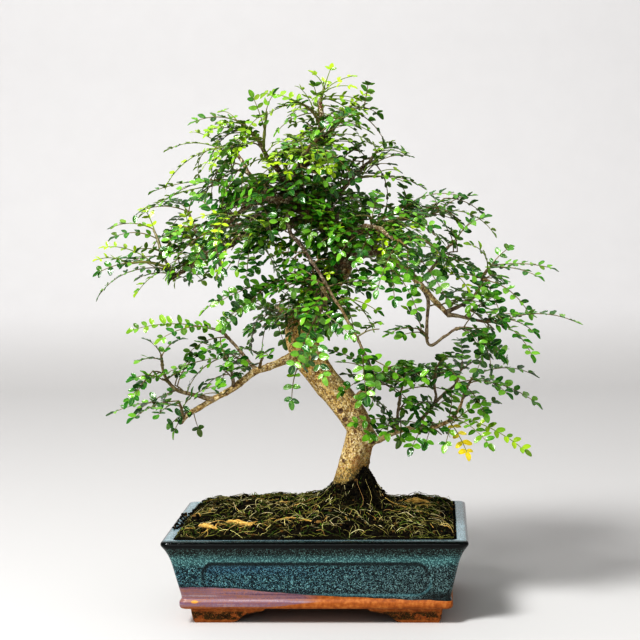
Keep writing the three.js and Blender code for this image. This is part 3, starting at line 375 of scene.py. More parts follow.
def new_material(name):
    """An empty material, its first socket, and the place on the object in millimetres about the pot."""
    material = bpy.data.materials.new(name)
    material.use_nodes = True
    tree = material.node_tree
    tree.nodes.clear()
    start = Socket(tree)
    place = start.node("ShaderNodeTexCoord", output=3)
    centred = place.vector("SUBTRACT", tuple(POT_MIDDLE / 1000))
    return material, start, centred.vector("MULTIPLY", (1000.0, 1000.0, 1000.0))


def close_material(start, **inputs):
    """Joins the named inputs of a Principled shader to the material's output."""
    named = {name.replace("_", " ").title().replace("Ior", "IOR"): value for name, value in inputs.items()}
    shader = start.node("ShaderNodeBsdfPrincipled", {}, named)
    start.node("ShaderNodeOutputMaterial", {}, {"Surface": shader})


def glaze_material():
    """Blue-green glaze speckled with dark, bluer on the panels, nearly black at the lip, with painted shade
    under the lip and in the grooves round the panels, painted highlights in and below the panels, and a
    painted pale reflection on the rim's top. Below a sloping line the bare terracotta shows, with a mauve
    wash where thin glaze ran over it at the front left, one yellow drip, and soil stains on the feet."""
    material, start, place = new_material("blue_green_glaze")
    x, y, z = place.split()
    fine = place.noise(1.5, 2.0, 0.7) + (place.cells(1.2) - 0.5) * 0.24
    grain = place.noise(0.8, 3.0, 0.6)
    streaks = place.vector("MULTIPLY", (0.015, 0.015, 0.55)).noise(0.6, 2.0, 0.5)
    broad = place.noise(0.035, 3.0)
    wave = place.noise(0.05, 2.0)
    teal = fine.ramp((0.38, paint(1, 5, 6)), (0.48, paint(8, 34, 36)), (0.56, paint(36, 84, 86)),
                     (0.66, paint(146, 192, 186)))
    blue = fine.ramp((0.38, paint(1, 4, 9)), (0.50, paint(10, 32, 46)), (0.64, paint(72, 118, 140)))
    dull = fine.ramp((0.38, paint(3, 5, 5)), (0.50, paint(20, 36, 37)), (0.64, paint(118, 136, 130)))
    height_tone = z + 6 * (broad - 0.5)
    # The panels are bluer than the wall, dull towards the right, and carry a painted blue highlight at their
    # upper left, under the groove.
    on_panel = 1 - height_tone.step(BLUE_TOP, BLUE_TOP + 10)
    glaze = (on_panel * 0.7 * grain.step(0.3, 0.6)).mix(teal, blue)
    glaze = (on_panel * (x - height_tone * 2).step(-130, 40) * 0.6).mix(glaze, dull)
    blue_highlight = z.step(40, 48) * (1 - z.step(50.5, 52)) * (1 - x.step(-70, 30)) * x.step(-93, -86)
    glaze = (blue_highlight * fine.step(0.4, 0.6) * 0.42).mix(glaze, paint(62, 108, 140))
    # A lighter band runs above the panels, and painted shade darkens the glaze from there up to the lip.
    bright_band = height_tone.step(BAND_LOW, BAND_LOW + 7) * (1 - height_tone.step(BAND_TOP, BAND_TOP + 5))
    glaze = (bright_band * 0.22).mix(glaze, paint(112, 166, 168))
    shade = z.step(SHADE_LOW, SHADE_LOW + 8) * (1 - z.step(71.3, 72))
    glaze = (shade * (1 - fine.step(0.5, 0.66) * 0.45)).mix(glaze, paint(16, 18, 13))
    lip = z.step(LIP_LOW, LIP_LOW + 2) * (1 - z.step(71.0, 71.9))
    glaze = (lip * 0.97).mix(glaze, paint(2, 4, 4))
    # The rim's top is painted pale blue-grey as a painted reflection of the bright room, and dark along its
    # front.
    rim_top = z.step(71.2, 71.9)
    rim_speckle_reflection = fine.ramp((0.34, paint(52, 80, 90)), (0.50, paint(118, 146, 156)),
                            (0.66, paint(176, 196, 202)))
    rim_reflection_dark_front = (1 - y.step(-90.0, -84.0)).mix(rim_speckle_reflection, paint(18, 36, 40))
    glaze = (rim_top * 0.9).mix(glaze, rim_reflection_dark_front)
    # The groove round each panel is painted dark as painted shade, most of all on its upper edge, which faces
    # down.
    front = (abs(y) / float(HALF_Y) - abs(x) / float(HALF_X)).step(-0.02, 0.02)
    along = (abs(x) - PANEL_HALF_FRONT) * front + (abs(y) - PANEL_HALF_END) * (1 - front) + PANEL_CORNER
    up = abs(z - PANEL_MIDDLE) - (PANEL_HALF_HEIGHT - PANEL_CORNER)
    beyond_x, beyond_z = along.maths("MAXIMUM", 0.0), up.maths("MAXIMUM", 0.0)
    reach = (beyond_x * beyond_x + beyond_z * beyond_z).maths("SQRT")
    groove_shade = 1 - abs(reach - (PANEL_CORNER - 0.5)).step(0.5, 2.6)
    glaze = (groove_shade * (0.45 + 0.4 * z.step(40, 50))).mix(glaze, paint(5, 11, 16))
    # A painted highlight lies on the ridge of glaze below the panels, and the glaze is painted darker at the
    # lower right.
    ridge_highlight = 1 - abs(reach - (PANEL_CORNER + 2.4)).step(0.3, 1.8)
    glaze = (ridge_highlight * (1 - z.step(30, 44)) * 0.4).mix(glaze, paint(92, 142, 148))
    lower_right_dark = x.step(76, 96) * (1 - z.step(24, 30)) * (1 - y.step(-70.0, -60.0))
    glaze = (lower_right_dark * 0.8).mix(glaze, paint(12, 16, 14))
    clay = place.noise(0.3, 4.0).ramp((0.3, paint(126, 68, 20)), (0.5, paint(154, 88, 32)),
                                      (0.7, paint(176, 114, 56)))
    clay = (grain.step(0.6, 0.68) * 0.4).mix(clay, paint(126, 56, 16))
    # Soil and moss cling to the rough faces of the feet.
    stained = place.noise(0.13, 5.0, 0.7).step(0.42, 0.5) * (1 - z.step(8.5, 11)) * z.step(1.5, 3.5)
    soil_stain = stained * fine.step(0.3, 0.44)
    clay = (soil_stain * 0.92).mix(clay, grain.ramp((0.4, paint(14, 14, 8)), (0.65, paint(66, 62, 24))))
    # On the front the glaze's edge falls from the left to the right; elsewhere it only wavers.
    is_front = 1 - (y + 30 * x.step(-112, -104)).step(-40.0, -30.0)
    slope = GLAZE_END_FRONT + 3.6 * (1 - x.step(0, 115)) + 7.8 * (1 - x.step(-95, 25))
    edge = is_front * slope + (1 - is_front) * GLAZE_END_OTHERS + 2.4 * (wave - 0.5)
    wash_low = WASH_END + 1.2 * (wave - 0.5) + 4.5 * x.step(-45, 12)
    wash = is_front * z.step(wash_low - 0.6, wash_low + 0.6) * (1 - x.step(-14, 8))
    mauve = (streaks + (grain - 0.5) * 0.25).ramp(
        (0.36, paint(94, 74, 92)), (0.45, paint(130, 106, 120)), (0.52, paint(138, 100, 84)),
        (0.58, paint(118, 94, 112)), (0.68, paint(150, 134, 140)))
    mauve = ((1 - abs(z - 18.6).step(0.2, 1.2)) * 0.5).mix(mauve, paint(98, 72, 108))
    mauve = (fine.step(0.58, 0.7) * 0.5).mix(mauve, paint(172, 112, 70))
    beside, over = x - DRIP_X, z - DRIP_Z
    drip = 1 - (beside * beside * 0.08 + over * over * 0.5).step(0.3, 1.0)
    mauve = (drip * 0.85).mix(mauve, paint(206, 150, 40))
    clay = (wash * 0.9).mix(clay, mauve)
    glazed = z.step(edge - 0.25, edge + 0.25)
    thin = z.step(edge - 0.2, edge + 0.2) * (1 - z.step(edge + 0.4, edge + 2.2))
    colour = glazed.mix(clay, glaze)
    colour = (thin * 0.6).mix(colour, paint(24, 30, 34))
    rough = 0.5 - glazed * 0.37 - wash * (1 - glazed) * 0.2 + fine * 0.08 - lip * 0.08 + soil_stain * 0.3
    relief = (place.noise(0.22, 3.0) * 0.6 + fine * 0.25 * (1 - glazed) + grain * 0.35).bump(0.35, 0.0006)
    close_material(start, base_color=colour, roughness=rough, normal=relief, specular_ior_level=0.3)
    return material


def apply_modifiers(piece):
    """Turns the piece's live modifiers into its own mesh."""
    graph = bpy.context.evaluated_depsgraph_get()
    made = bpy.data.meshes.new_from_object(piece.evaluated_get(graph))
    piece.modifiers.clear()
    piece.data = made


def cut_and_joined(piece, joined, cut):
    """The piece with some bodies joined to it and others cut away, which are then removed."""
    for operation, bodies in (("UNION", joined), ("DIFFERENCE", cut)):
        for body in bodies:
            boolean = piece.modifiers.new(operation.lower(), "BOOLEAN")
            boolean.operation = operation
            boolean.solver = "MANIFOLD"
            boolean.object = body
    apply_modifiers(piece)
    for body in [*joined, *cut]:
        bpy.data.objects.remove(body)


glaze = glaze_material()
pot = make_piece("pot_glazed", pot_body(), glaze, ["pot"])
feet = [make_piece(f"foot_{x}_{y}", corner_foot(x, y), glaze) for x in (-1, 1) for y in (-1, 1)]
bores = [make_piece(f"bore_{x}", drain_bore(x), glaze) for x in (-DRAIN_X, DRAIN_X)]
cut_and_joined(pot, feet, bores)
pot.data.set_sharp_from_angle(angle=math.radians(48))


# Drain screens
# Two squares of dark plastic mesh over the drain holes keep the soil in. They lie under the soil.
# Their frame solids already have the right shape and take a moulded finish.
def screen_material():
    """Matt black plastic with the fine dull grain of its mould."""
    material, start, place = new_material("dull_black_plastic")
    grain = place.noise(1.6, 3.0)
    colour = grain.ramp((0.35, paint(20, 22, 25)), (0.65, paint(44, 47, 51)))
    close_material(start, base_color=colour, roughness=0.5 + grain * 0.25, normal=grain.bump(0.2, 0.0002))
    return material


screen_plastic = screen_material()
for name in ("drain_screen_left", "drain_screen_right"):
    bpy.data.objects[name].material_slots[0].material = screen_plastic


# Soil
# Dark potting soil, domed in the middle and heaped steeply round the foot of the trunk. It is a block
# that fills the pot, with crumbs, dead fibres, shoots of moss and short bits of root lying on it.
TRUNK_FOOT_X, TRUNK_FOOT_Y, TRUNK_FOOT_RADIUS = 27, 0, 12
SOIL_INSET = 11.3
SOIL_HALF_X, SOIL_HALF_Y = HALF_X - SOIL_INSET, HALF_Y - SOIL_INSET
# Half sizes over which the dome falls to nothing.
DOME_X, DOME_Y = 114, 82
# Height along the walls, and the rise of the dome, the shelf, the mound and the mound's right side.
SOIL_EDGE, DOME_RISE, SHELF_RISE, MOUND_RISE, MOUND_SIDE_RISE = 74.2, 9, 4, 26, 15
# Crumbs everywhere, spilt over the rim, against the walls, and on the mound round the trunk.
CRUMBS, SPILT_CRUMBS, EDGE_CRUMBS, MOUND_CRUMBS = 4200, 150, 500, 560
# The first of the fibres lie along the front edge, against the wall.
FIBRES, EDGE_FIBRES, MOSS_BLADES = 2300, 260, 3000
FIBRE_STEPS = 7


def noise(points, size, seed):
    """Value noise from -0.5 to 0.5: numbers on a lattice of the given size, blended by 3t^2 - 2t^3."""
    lattice = np.random.default_rng(seed).random((32, 32, 32))
    cell = np.asarray(points) / size
    low = np.floor(cell).astype(int)
    share = cell - low
    share = share * share * (3 - 2 * share)
    value = 0
    for corner in np.ndindex(2, 2, 2):
        weight = np.prod(np.where(corner, share, 1 - share), axis=-1)
        i, j, k = np.moveaxis((low + corner) % 32, -1, 0)
        value = value + weight * lattice[i, j, k]
    return value - 0.5


def soil_height(x, y, lumpy=True):
    """The dome, a shelf a little left of the middle and the mound round the trunk, steeper on its right,
    which are powers and bells of the distances, and lumps of three sizes. It dips by the walls."""
    across, deep = np.minimum(1, np.abs(x) / DOME_X), np.minimum(1, np.abs(y) / DOME_Y)
    fall = (1 - deep**2) ** 0.6
    height = SOIL_EDGE + DOME_RISE * (1 - across**6) * fall
    height = height + SHELF_RISE * np.exp(-(((x + 5) / 50) ** 2)) * fall
    x_away, y_away = x - TRUNK_FOOT_X, y - TRUNK_FOOT_Y
    height = height + MOUND_RISE * np.exp(-((x_away / 23) ** 2) - (y_away / 26) ** 2)
    height = height + MOUND_SIDE_RISE * np.exp(-(((x_away - 12) / 13) ** 2) - ((y_away + 4) / 17) ** 2)
    if not lumpy:
        return height
    spot = np.stack(np.broadcast_arrays(x, y, 0.0), axis=-1)
    edge = np.maximum(across, deep)
    lumps = 4.6 * noise(spot, 14, 3) + 3.4 * noise(spot, 5.5, 4) + 2.0 * noise(spot, 2.4, 5)
    dip = -2.8 * smooth_step(0.92, 1.0, edge) * (0.9 + noise(spot, 20, 6))
    return height + lumps * (1 - 0.4 * smooth_step(0.93, 1, edge)) + dip


def soil_block(columns=200, rows=144):
    """The height over a rectangular grid, with walls that lean in to the floor and a flat underside."""
    x, y = np.meshgrid(np.linspace(-1, 1, columns + 1), np.linspace(-1, 1, rows + 1))
    x, y = x * SOIL_HALF_X, y * SOIL_HALF_Y
    top = np.stack([x, y, soil_height(x, y)], axis=-1)
    number = np.arange(top[..., 0].size).reshape(rows + 1, columns + 1)
    quads = np.stack([number[:-1, :-1], number[:-1, 1:], number[1:, 1:], number[1:, :-1]], axis=-1)
    border = np.concatenate([number[0, :-1], number[:-1, -1], number[-1, :0:-1], number[:0:-1, 0]])
    rim = top.reshape(-1, 3)[border]
    walls = [rim * [1 - inset / SOIL_HALF_X, 1 - inset / SOIL_HALF_Y, 0] + [0, 0, z]
             for inset, z in ((1.2, 60), (6, 40), (11, FLOOR_TOP + 0.6))]
    count, start = len(border), number.size
    loops = np.stack([border, *(start + k * count + np.arange(count) for k in range(3))])
    after = np.roll(loops, -1, axis=1)
    skirt = np.stack([loops[:-1], loops[1:], after[1:], after[:-1]], axis=-1).reshape(-1, 4)
    middle = start + 3 * count
    under = np.stack([np.full(count, middle), after[-1], loops[-1]], axis=-1)
    points = np.concatenate([top.reshape(-1, 3), *walls, [[0, 0, FLOOR_TOP + 0.6]]])
    return Surface(points, [np.concatenate([quads.reshape(-1, 4), skirt]), under],
                   tone=np.full(len(points), 0.3))


def tubes(paths, radii, sides):
    """A closed tube round each path: rings of points at the radius from it, in a frame whose side is
    square to the path and to the axis that the path follows least. The grain mark unrolls the bark:
    radius times cosine and sine of the angle, and the distance along."""
    paths = np.asarray(paths, float)
    count, steps = paths.shape[:2]
    radii = np.broadcast_to(radii, (count, steps))
    ahead = np.gradient(paths, axis=1)
    ahead /= np.linalg.norm(ahead, axis=-1, keepdims=True) + 1e-12
    spread = np.abs(ahead).max(axis=1)
    reference = np.eye(3)[np.argmin(spread, axis=-1)][:, None, :]
    side = np.cross(ahead, reference)
    side /= np.linalg.norm(side, axis=-1, keepdims=True)
    lift = np.cross(side, ahead)
    angle = 2 * math.pi * np.arange(sides) / sides
    way = side[:, :, None] * np.cos(angle)[:, None] - lift[:, :, None] * np.sin(angle)[:, None]
    rings = paths[:, :, None] + radii[:, :, None, None] * way
    walked = np.cumsum(np.linalg.norm(np.diff(paths, axis=1, prepend=paths[:, :1]), axis=-1), axis=1)
    walked = walked + 37 * np.arange(count)[:, None]
    grain = np.stack(np.broadcast_arrays(radii[..., None] * np.cos(angle), radii[..., None] * np.sin(angle),
                                         walked[..., None]), axis=-1)
    quads, fans = ring_faces(steps, sides)
    size = steps * sides + 2
    corners = np.concatenate([rings.reshape(count, -1, 3), paths[:, :1], paths[:, -1:]], axis=1)
    grain = np.concatenate([grain.reshape(count, -1, 3), grain[:, 0, :1], grain[:, -1, :1]], axis=1)
    starts = (size * np.arange(count))[:, None, None]
    faces = [(quads + starts).reshape(-1, 4), (fans + starts).reshape(-1, 3)]
    return Surface(corners, faces, grain=grain.reshape(-1, 3))


def crumbs(spots, sizes, seed):
    """Rough lumps: the twelve corners of an icosahedron, each drawn to its own length and stretch."""
    rng = np.random.default_rng(seed)
    golden = (1 + math.sqrt(5)) / 2
    corner = np.array([(-1, golden, 0), (1, golden, 0), (-1, -golden, 0), (1, -golden, 0), (0, -1, golden),
                       (0, 1, golden), (0, -1, -golden), (0, 1, -golden), (golden, 0, -1),
                       (golden, 0, 1), (-golden, 0, -1), (-golden, 0, 1)]) / 1.9
    face = np.array([(0, 11, 5), (0, 5, 1), (0, 1, 7), (0, 7, 10), (0, 10, 11), (1, 5, 9), (5, 11, 4),
                     (11, 10, 2), (10, 7, 6), (7, 1, 8), (3, 9, 4), (3, 4, 2), (3, 2, 6), (3, 6, 8),
                     (3, 8, 9), (4, 9, 5), (2, 4, 11), (6, 2, 10), (8, 6, 7), (9, 8, 1)])
    count = len(spots)
    turn = rng.uniform(0, 2 * math.pi, (count, 1))
    stretch = rng.uniform(0.6, 1.3, (count, 1, 3)) * [1, 1, 0.75]
    body = corner * stretch * rng.uniform(0.72, 1.15, (count, 12, 1)) * sizes[:, None, None]
    x = body[..., 0] * np.cos(turn) - body[..., 1] * np.sin(turn)
    y = body[..., 0] * np.sin(turn) + body[..., 1] * np.cos(turn)
    points = np.stack([x, y, body[..., 2]], axis=-1) + spots[:, None, :]
    faces = (face + 12 * np.arange(count)[:, None, None]).reshape(-1, 3)
    tone = np.repeat(rng.uniform(0, 1, count), 12)
    return Surface(points, [faces], tone=tone)


def blades_of_moss(spots, ways, lengths, widths, tone):
    """Narrow three-sided spikes, closed at the foot, leaning the given way."""
    count = len(spots)
    level = np.cross(ways, [0.31, 0.17, 0.93])
    level /= np.linalg.norm(level, axis=-1, keepdims=True)
    across = np.cross(ways, level)
    angle = 2 * math.pi * np.arange(3) / 3
    foot = (level[:, None] * np.cos(angle)[:, None] + across[:, None] * np.sin(angle)[:, None])
    points = np.concatenate([spots[:, None] + widths[:, None, None] * foot,
                             (spots + ways * lengths[:, None])[:, None]], axis=1)
    face = np.array([(0, 1, 3), (1, 2, 3), (2, 0, 3), (0, 2, 1)])
    faces = (face + 4 * np.arange(count)[:, None, None]).reshape(-1, 3)
    return Surface(points, [faces], tone=np.repeat(tone, 4))


def soil_spots(count, rng, margin):
    """Places on the soil, so far from its edge and none inside the trunk's foot."""
    x = rng.uniform(-1, 1, count) * (SOIL_HALF_X - margin)
    y = rng.uniform(-1, 1, count) * (SOIL_HALF_Y - margin)
    inside = np.hypot(x - TRUNK_FOOT_X, y - TRUNK_FOOT_Y) < TRUNK_FOOT_RADIUS
    x = np.where(inside, x - 60, x)
    return np.stack([x, y, soil_height(x, y)], axis=-1)


def lying_paths(starts, ways, lengths, steps, lift, wander, rng):
    """Paths along the soil: straight in plan but for two slow sine bends, at the soil's height plus a
    low arch between the ends, which dip under it."""
    t = np.linspace(0, 1, steps)
    side = np.stack([-ways[:, 1], ways[:, 0]], axis=-1)
    phase = rng.uniform(0, 2 * math.pi, (len(starts), 2, 1))
    bend = wander[:, None] * (np.sin(3.1 * t + phase[:, 0]) + 0.45 * np.sin(7.7 * t + phase[:, 1]))
    bend = bend - bend[:, :1]
    plan = starts[:, None, :2] + ways[:, None] * (lengths[:, None] * t)[..., None]
    plan = plan + side[:, None] * bend[..., None]
    limit = np.array([SOIL_HALF_X - 0.6, SOIL_HALF_Y - 0.6])
    plan = np.clip(plan, -limit, limit)
    height = soil_height(plan[..., 0], plan[..., 1])
    smooth = (height + np.roll(height, 1, axis=1) + np.roll(height, -1, axis=1)) / 3
    smooth[:, [0, -1]] = height[:, [0, -1]]
    raised = smooth + lift[:, None] * np.sin(math.pi * t) - 0.7 * np.abs(2 * t - 1) ** 6
    return np.concatenate([plan, raised[..., None]], axis=-1)


def soil_material():
    """Black-brown peat with a fine dull grain. The tone mark sets each crumb's own shade, and a few
    are bark, pumice or rusty clay."""
    material, start, place = new_material("dark_soil")
    tone = start.mark("tone")
    fine = place.noise(1.4, 4.0, 0.65)
    broad = place.noise(0.09, 3.0)
    ground = fine.ramp((0.34, paint(5, 4, 3)), (0.52, paint(20, 16, 10)), (0.70, paint(56, 44, 26)))
    ground = (broad.step(0.5, 0.66) * 0.4).mix(ground, paint(40, 38, 16))
    crumb = tone.ramp((0.0, paint(5, 5, 4)), (0.4, paint(15, 12, 8)), (0.7, paint(34, 26, 15)),
                      (0.88, paint(66, 50, 26)), (0.96, paint(110, 84, 46)), (1.0, paint(150, 120, 74)))
    colour = (abs(tone - 0.3).step(0.0, 0.01)).mix(ground, crumb)
    colour = (fine.step(0.42, 0.60) * 0.4).mix(colour, paint(9, 8, 6))
    relief = (fine + place.noise(0.5, 3.0) * 1.5).bump(0.6, 0.0007)
    close_material(start, base_color=colour, roughness=0.86 + fine * 0.14, normal=relief,
                   specular_ior_level=0.12)
    return material


def fibre_material():
    """Dry straw, moss and bits of root. The tone mark picks the colour: tan, rust, yellow-green or the
    fresh green of moss."""
    material, start, place = new_material("straw_and_moss")
    tone = start.mark("tone")
    fine = place.noise(0.9, 3.0)
    colour = tone.ramp((0.0, paint(18, 17, 10)), (0.10, paint(50, 44, 22)), (0.22, paint(158, 146, 84)),
                       (0.34, paint(240, 230, 188)), (0.40, paint(170, 104, 62)),
                       (0.47, paint(212, 206, 136)), (0.58, paint(128, 130, 56)),
                       (0.74, paint(36, 44, 20)), (1.0, paint(120, 176, 36)))
    colour = (fine.step(0.45, 0.7) * 0.35).mix(colour, paint(24, 24, 10))
    close_material(start, base_color=colour, roughness=0.62 + fine * 0.2, normal=fine.bump(0.3, 0.0002),
                   specular_ior_level=0.2)
    return material


soil_rng = np.random.default_rng(11)
dark_soil = soil_material()
straw = fibre_material()
crumb_spots = soil_spots(CRUMBS, soil_rng, 0.3)
crumb_sizes = 0.6 + 1.8 * soil_rng.random(CRUMBS) ** 2.4
# Soil that was spilt over the left end of the rim when the tree was potted.
spill_x = -HALF_X + 2.5 + 15 * soil_rng.random(SPILT_CRUMBS) ** 1.3
spill_y = -HALF_Y + 52 + 70 * soil_rng.random(SPILT_CRUMBS)
spill_z = np.where(spill_x < -HALF_X + WALL, RIM_TOP + 0.4, RIM_TOP)
spill_spots = np.stack([spill_x, spill_y, spill_z], axis=-1)
spill = crumbs(spill_spots, 0.5 + 1.1 * soil_rng.random(SPILT_CRUMBS), 8)
# Crumbs against the four walls, from the rim's inner edge up to the soil.
edge_place = soil_rng.random(EDGE_CRUMBS) * 4
edge_side, edge_share = edge_place.astype(int), 2 * (edge_place % 1) - 1
edge_in = soil_rng.normal(0.6, 0.9, EDGE_CRUMBS)
edge_x = np.where(edge_side < 2, edge_share * SOIL_HALF_X, (5 - 2 * edge_side) * (SOIL_HALF_X - edge_in))
edge_y = np.where(edge_side < 2, (2 * edge_side - 1) * (SOIL_HALF_Y - edge_in), edge_share * SOIL_HALF_Y)
edge_z = RIM_TOP - 0.8 + (soil_height(edge_x, edge_y) - RIM_TOP + 0.4) * soil_rng.random(EDGE_CRUMBS)
edge_spots = np.stack([edge_x, edge_y, edge_z], axis=-1)
edge_crumbs = crumbs(edge_spots, 0.5 + 1.0 * soil_rng.random(EDGE_CRUMBS) ** 2, 9)
# Crumbs on the steep mound, nearly all of them black.
mound_angle = soil_rng.uniform(0, 2 * math.pi, MOUND_CRUMBS)
mound_reach = soil_rng.uniform(9, 30, MOUND_CRUMBS)
crumb_x = TRUNK_FOOT_X + 5 + mound_reach * np.cos(mound_angle)
crumb_y = TRUNK_FOOT_Y + mound_reach * np.sin(mound_angle)
mound_spots = np.stack([crumb_x, crumb_y, soil_height(crumb_x, crumb_y) + 0.2], axis=-1)
mound_crumbs = crumbs(mound_spots, 0.7 + 1.5 * soil_rng.random(MOUND_CRUMBS) ** 2, 10)
mound_crumbs.marks["tone"] = 0.02 + 0.95 * mound_crumbs.marks["tone"] ** 2
block = soil_block()
make_piece("soil_surface", Surface.joined([block, crumbs(crumb_spots, crumb_sizes, 7), spill, edge_crumbs,
                                           mound_crumbs]),
           dark_soil, ["soil"], sharp=60)

fibre_starts = soil_spots(FIBRES, soil_rng, 1)
fibre_starts[:EDGE_FIBRES, 1] = -SOIL_HALF_Y + 0.3 + 3 * soil_rng.random(EDGE_FIBRES)
fibre_turn = soil_rng.uniform(0, 2 * math.pi, FIBRES)
fibre_turn[:EDGE_FIBRES] = soil_rng.normal(0, 0.9, EDGE_FIBRES)
fibre_ways = np.stack([np.cos(fibre_turn), np.sin(fibre_turn)], axis=-1)
fibre_lengths = 5 + 20 * soil_rng.random(FIBRES) ** 1.6
fibre_lift = 0.6 + 2.6 * soil_rng.random(FIBRES)
fibre_lift[:EDGE_FIBRES] *= 0.4
fibre_paths = lying_paths(fibre_starts, fibre_ways, fibre_lengths, FIBRE_STEPS, fibre_lift,
                          0.17 * fibre_lengths, soil_rng)
fibre_radii = (0.15 + 0.22 * soil_rng.random((FIBRES, 1)) ** 3) * np.linspace(1, 0.7, FIBRE_STEPS)
fibres = tubes(fibre_paths, fibre_radii, 3)
fibre_tone = np.where(soil_rng.random(FIBRES) < 0.45, 0.36 * soil_rng.random(FIBRES),
                      0.42 + 0.42 * soil_rng.random(FIBRES))
edge_tone = soil_rng.random(EDGE_FIBRES)
fibre_tone[:EDGE_FIBRES] = np.where(edge_tone < 0.55, 0.2 * edge_tone, 0.2 + 0.6 * edge_tone)
# Those on the mound are nearly black.
on_mound = np.hypot(fibre_starts[:, 0] - TRUNK_FOOT_X - 4, fibre_starts[:, 1]) < 30
fibre_tone = np.where(on_mound, 0.12 * soil_rng.random(FIBRES), fibre_tone)
fibres.marks = {"tone": np.repeat(fibre_tone, len(fibres.corners) // FIBRES)}
moss_spots = soil_spots(MOSS_BLADES, soil_rng, 1)
patch = noise(moss_spots * [1, 1, 0], 17, 21)
near_trunk = np.exp(-(np.hypot(moss_spots[:, 0] - TRUNK_FOOT_X, moss_spots[:, 1]) / 34) ** 2)
kept = patch + 0.22 * near_trunk > 0.12
moss_spots = moss_spots[kept] - [0, 0, 0.4]
moss_ways = soil_rng.normal(0, 0.5, moss_spots.shape) * [1, 1, 0.2] + [0, 0, 0.8]
moss_ways /= np.linalg.norm(moss_ways, axis=-1, keepdims=True)
moss_lengths = 1.4 + 3.2 * soil_rng.random(len(moss_spots)) ** 1.5
moss_tone = 0.58 + 0.42 * soil_rng.random(len(moss_spots)) ** 1.6
moss = blades_of_moss(moss_spots, moss_ways, moss_lengths, 0.28 + 0.25 * soil_rng.random(len(moss_spots)),
                      moss_tone)
make_piece("straw_and_moss", Surface.joined([fibres, moss]), straw)


# Surface roots
# Three living roots that come up through the soil near the rim and go down again, with finer ones
# round them and down the mound. They are tan, woody and as crooked as the soil made them.
SURFACE_ROOTS = {
    "root_front_left": ([(-97, -56, -1), (-90, -64, 0.6), (-79, -70, -1)], [2, 2.4, 1.2]),
    "root_front_middle": ([(-75, -52, -1), (-66, -60, 0.8), (-54, -67, 0.6), (-38, -71, -1)],
                          [1.6, 2.5, 2.2, 1]),
    "root_right": ([(68, 24, -1.5), (79, 31, 0.8), (90, 24, 0.8), (96, 8, -1)], [1.2, 2, 2.2, 1.2]),
}
FINE_ROOTS, FINE_ROOTS_EACH, MOUND_ROOTS = 46, 5, 420


def smooth_curve(points, t):
    """Places at t from 0 to 1 on a Catmull-Rom curve of tension one half, run on straight at its ends."""
    given = np.asarray(points, float)
    last = len(given) - 1
    held = np.concatenate([[2 * given[0] - given[1]], given, [2 * given[-1] - given[-2]]])
    place = np.clip(t, 0, 1) * last
    part = np.minimum(place.astype(int), last - 1)
    w = (place - part)[..., None]
    a, b, c, d = (held[part + k] for k in range(4))
    leave, arrive = (c - a) / 2, (d - b) / 2
    return b + leave * w + (3 * (c - b) - 2 * leave - arrive) * w**2 + (2 * (b - c) + leave + arrive) * w**3


def rough_tube(path, radii, sides, size, depth, seed):
    """One tube whose skin is drawn in and out by noise of two sizes."""
    tube = tubes(path[None], np.asarray(radii)[None], sides)
    middle = np.concatenate([np.repeat(path, sides, axis=0), path[:1], path[-1:]])
    out = tube.corners - middle
    rise = depth * (noise(tube.corners, size, seed) + 0.5 * noise(tube.corners, size / 2.4, seed + 1))
    share = rise / np.maximum(np.linalg.norm(out, axis=-1), 0.3)
    tube.corners += out * share[:, None]
    return tube


def root_material():
    """Tan skin with darker lengthwise cracks and soil left in them."""
    material, start, place = new_material("root_skin")
    grain = start.mark("grain", 1)
    lines = grain.vector("MULTIPLY", (2.6, 2.6, 0.35)).noise(0.6, 4.0, 0.6)
    fine = place.noise(0.9, 3.0)
    colour = lines.ramp((0.30, paint(92, 68, 26)), (0.46, paint(188, 146, 70)), (0.66, paint(230, 200, 122)))
    colour = (fine.step(0.54, 0.66) * 0.5).mix(colour, paint(96, 92, 30))
    close_material(start, base_color=colour, roughness=0.68 + fine * 0.2, normal=lines.bump(0.6, 0.0006))
    return material


root_skin = root_material()
for number, (name, (points, radii)) in enumerate(SURFACE_ROOTS.items()):
    t = np.linspace(0, 1, 60)
    course = smooth_curve(points, t)
    course[:, 2] += soil_height(course[:, 0], course[:, 1], lumpy=False) + 0.8
    thick = np.interp(t * (len(radii) - 1), np.arange(len(radii)), radii) * (1 + 0.12 * np.sin(19 * t))
    thick *= 0.4 + 0.6 * np.sin(math.pi * t) ** 0.4
    make_piece(name.replace("root", "living_root"), rough_tube(course, thick, 14, 3.4, 0.5, 31 + number),
               root_skin, [name])

root_starts = soil_spots(FINE_ROOTS, soil_rng, 8)
near_mound = np.hypot(root_starts[:, 0] - TRUNK_FOOT_X, root_starts[:, 1]) < 46
root_starts[near_mound, 0] -= 66
root_turn = soil_rng.uniform(0, 2 * math.pi, FINE_ROOTS)
# The first of them branch off the living roots.
for number, (points, _) in enumerate(SURFACE_ROOTS.values()):
    joints = smooth_curve(points, np.linspace(0.15, 0.85, FINE_ROOTS_EACH))
    own = slice(FINE_ROOTS_EACH * number, FINE_ROOTS_EACH * (number + 1))
    root_starts[own, :2] = joints[:, :2]
root_ways = np.stack([np.cos(root_turn), 0.6 * np.sin(root_turn)], axis=-1)
root_lengths = soil_rng.uniform(12, 34, FINE_ROOTS)
# Those of the last, right-hand root are the longest and thickest, and run out to the front.
root_ways[own] = [[-0.6, -0.8], [0.3, -0.95], [-0.9, -0.45], [0.8, -0.6], [-0.2, -1.0]]
root_lengths[own] = [30, 24, 26, 18, 34]
fine_paths = lying_paths(root_starts, root_ways, root_lengths, 14, soil_rng.uniform(0.5, 1.8, FINE_ROOTS),
                         0.11 * root_lengths, soil_rng)
fine_radii = soil_rng.uniform(0.3, 0.85, (FINE_ROOTS, 1)) * np.linspace(1, 0.45, 14)
fine_radii[own] *= 1.5
make_piece("fine_roots", tubes(fine_paths, fine_radii, 6), root_skin)

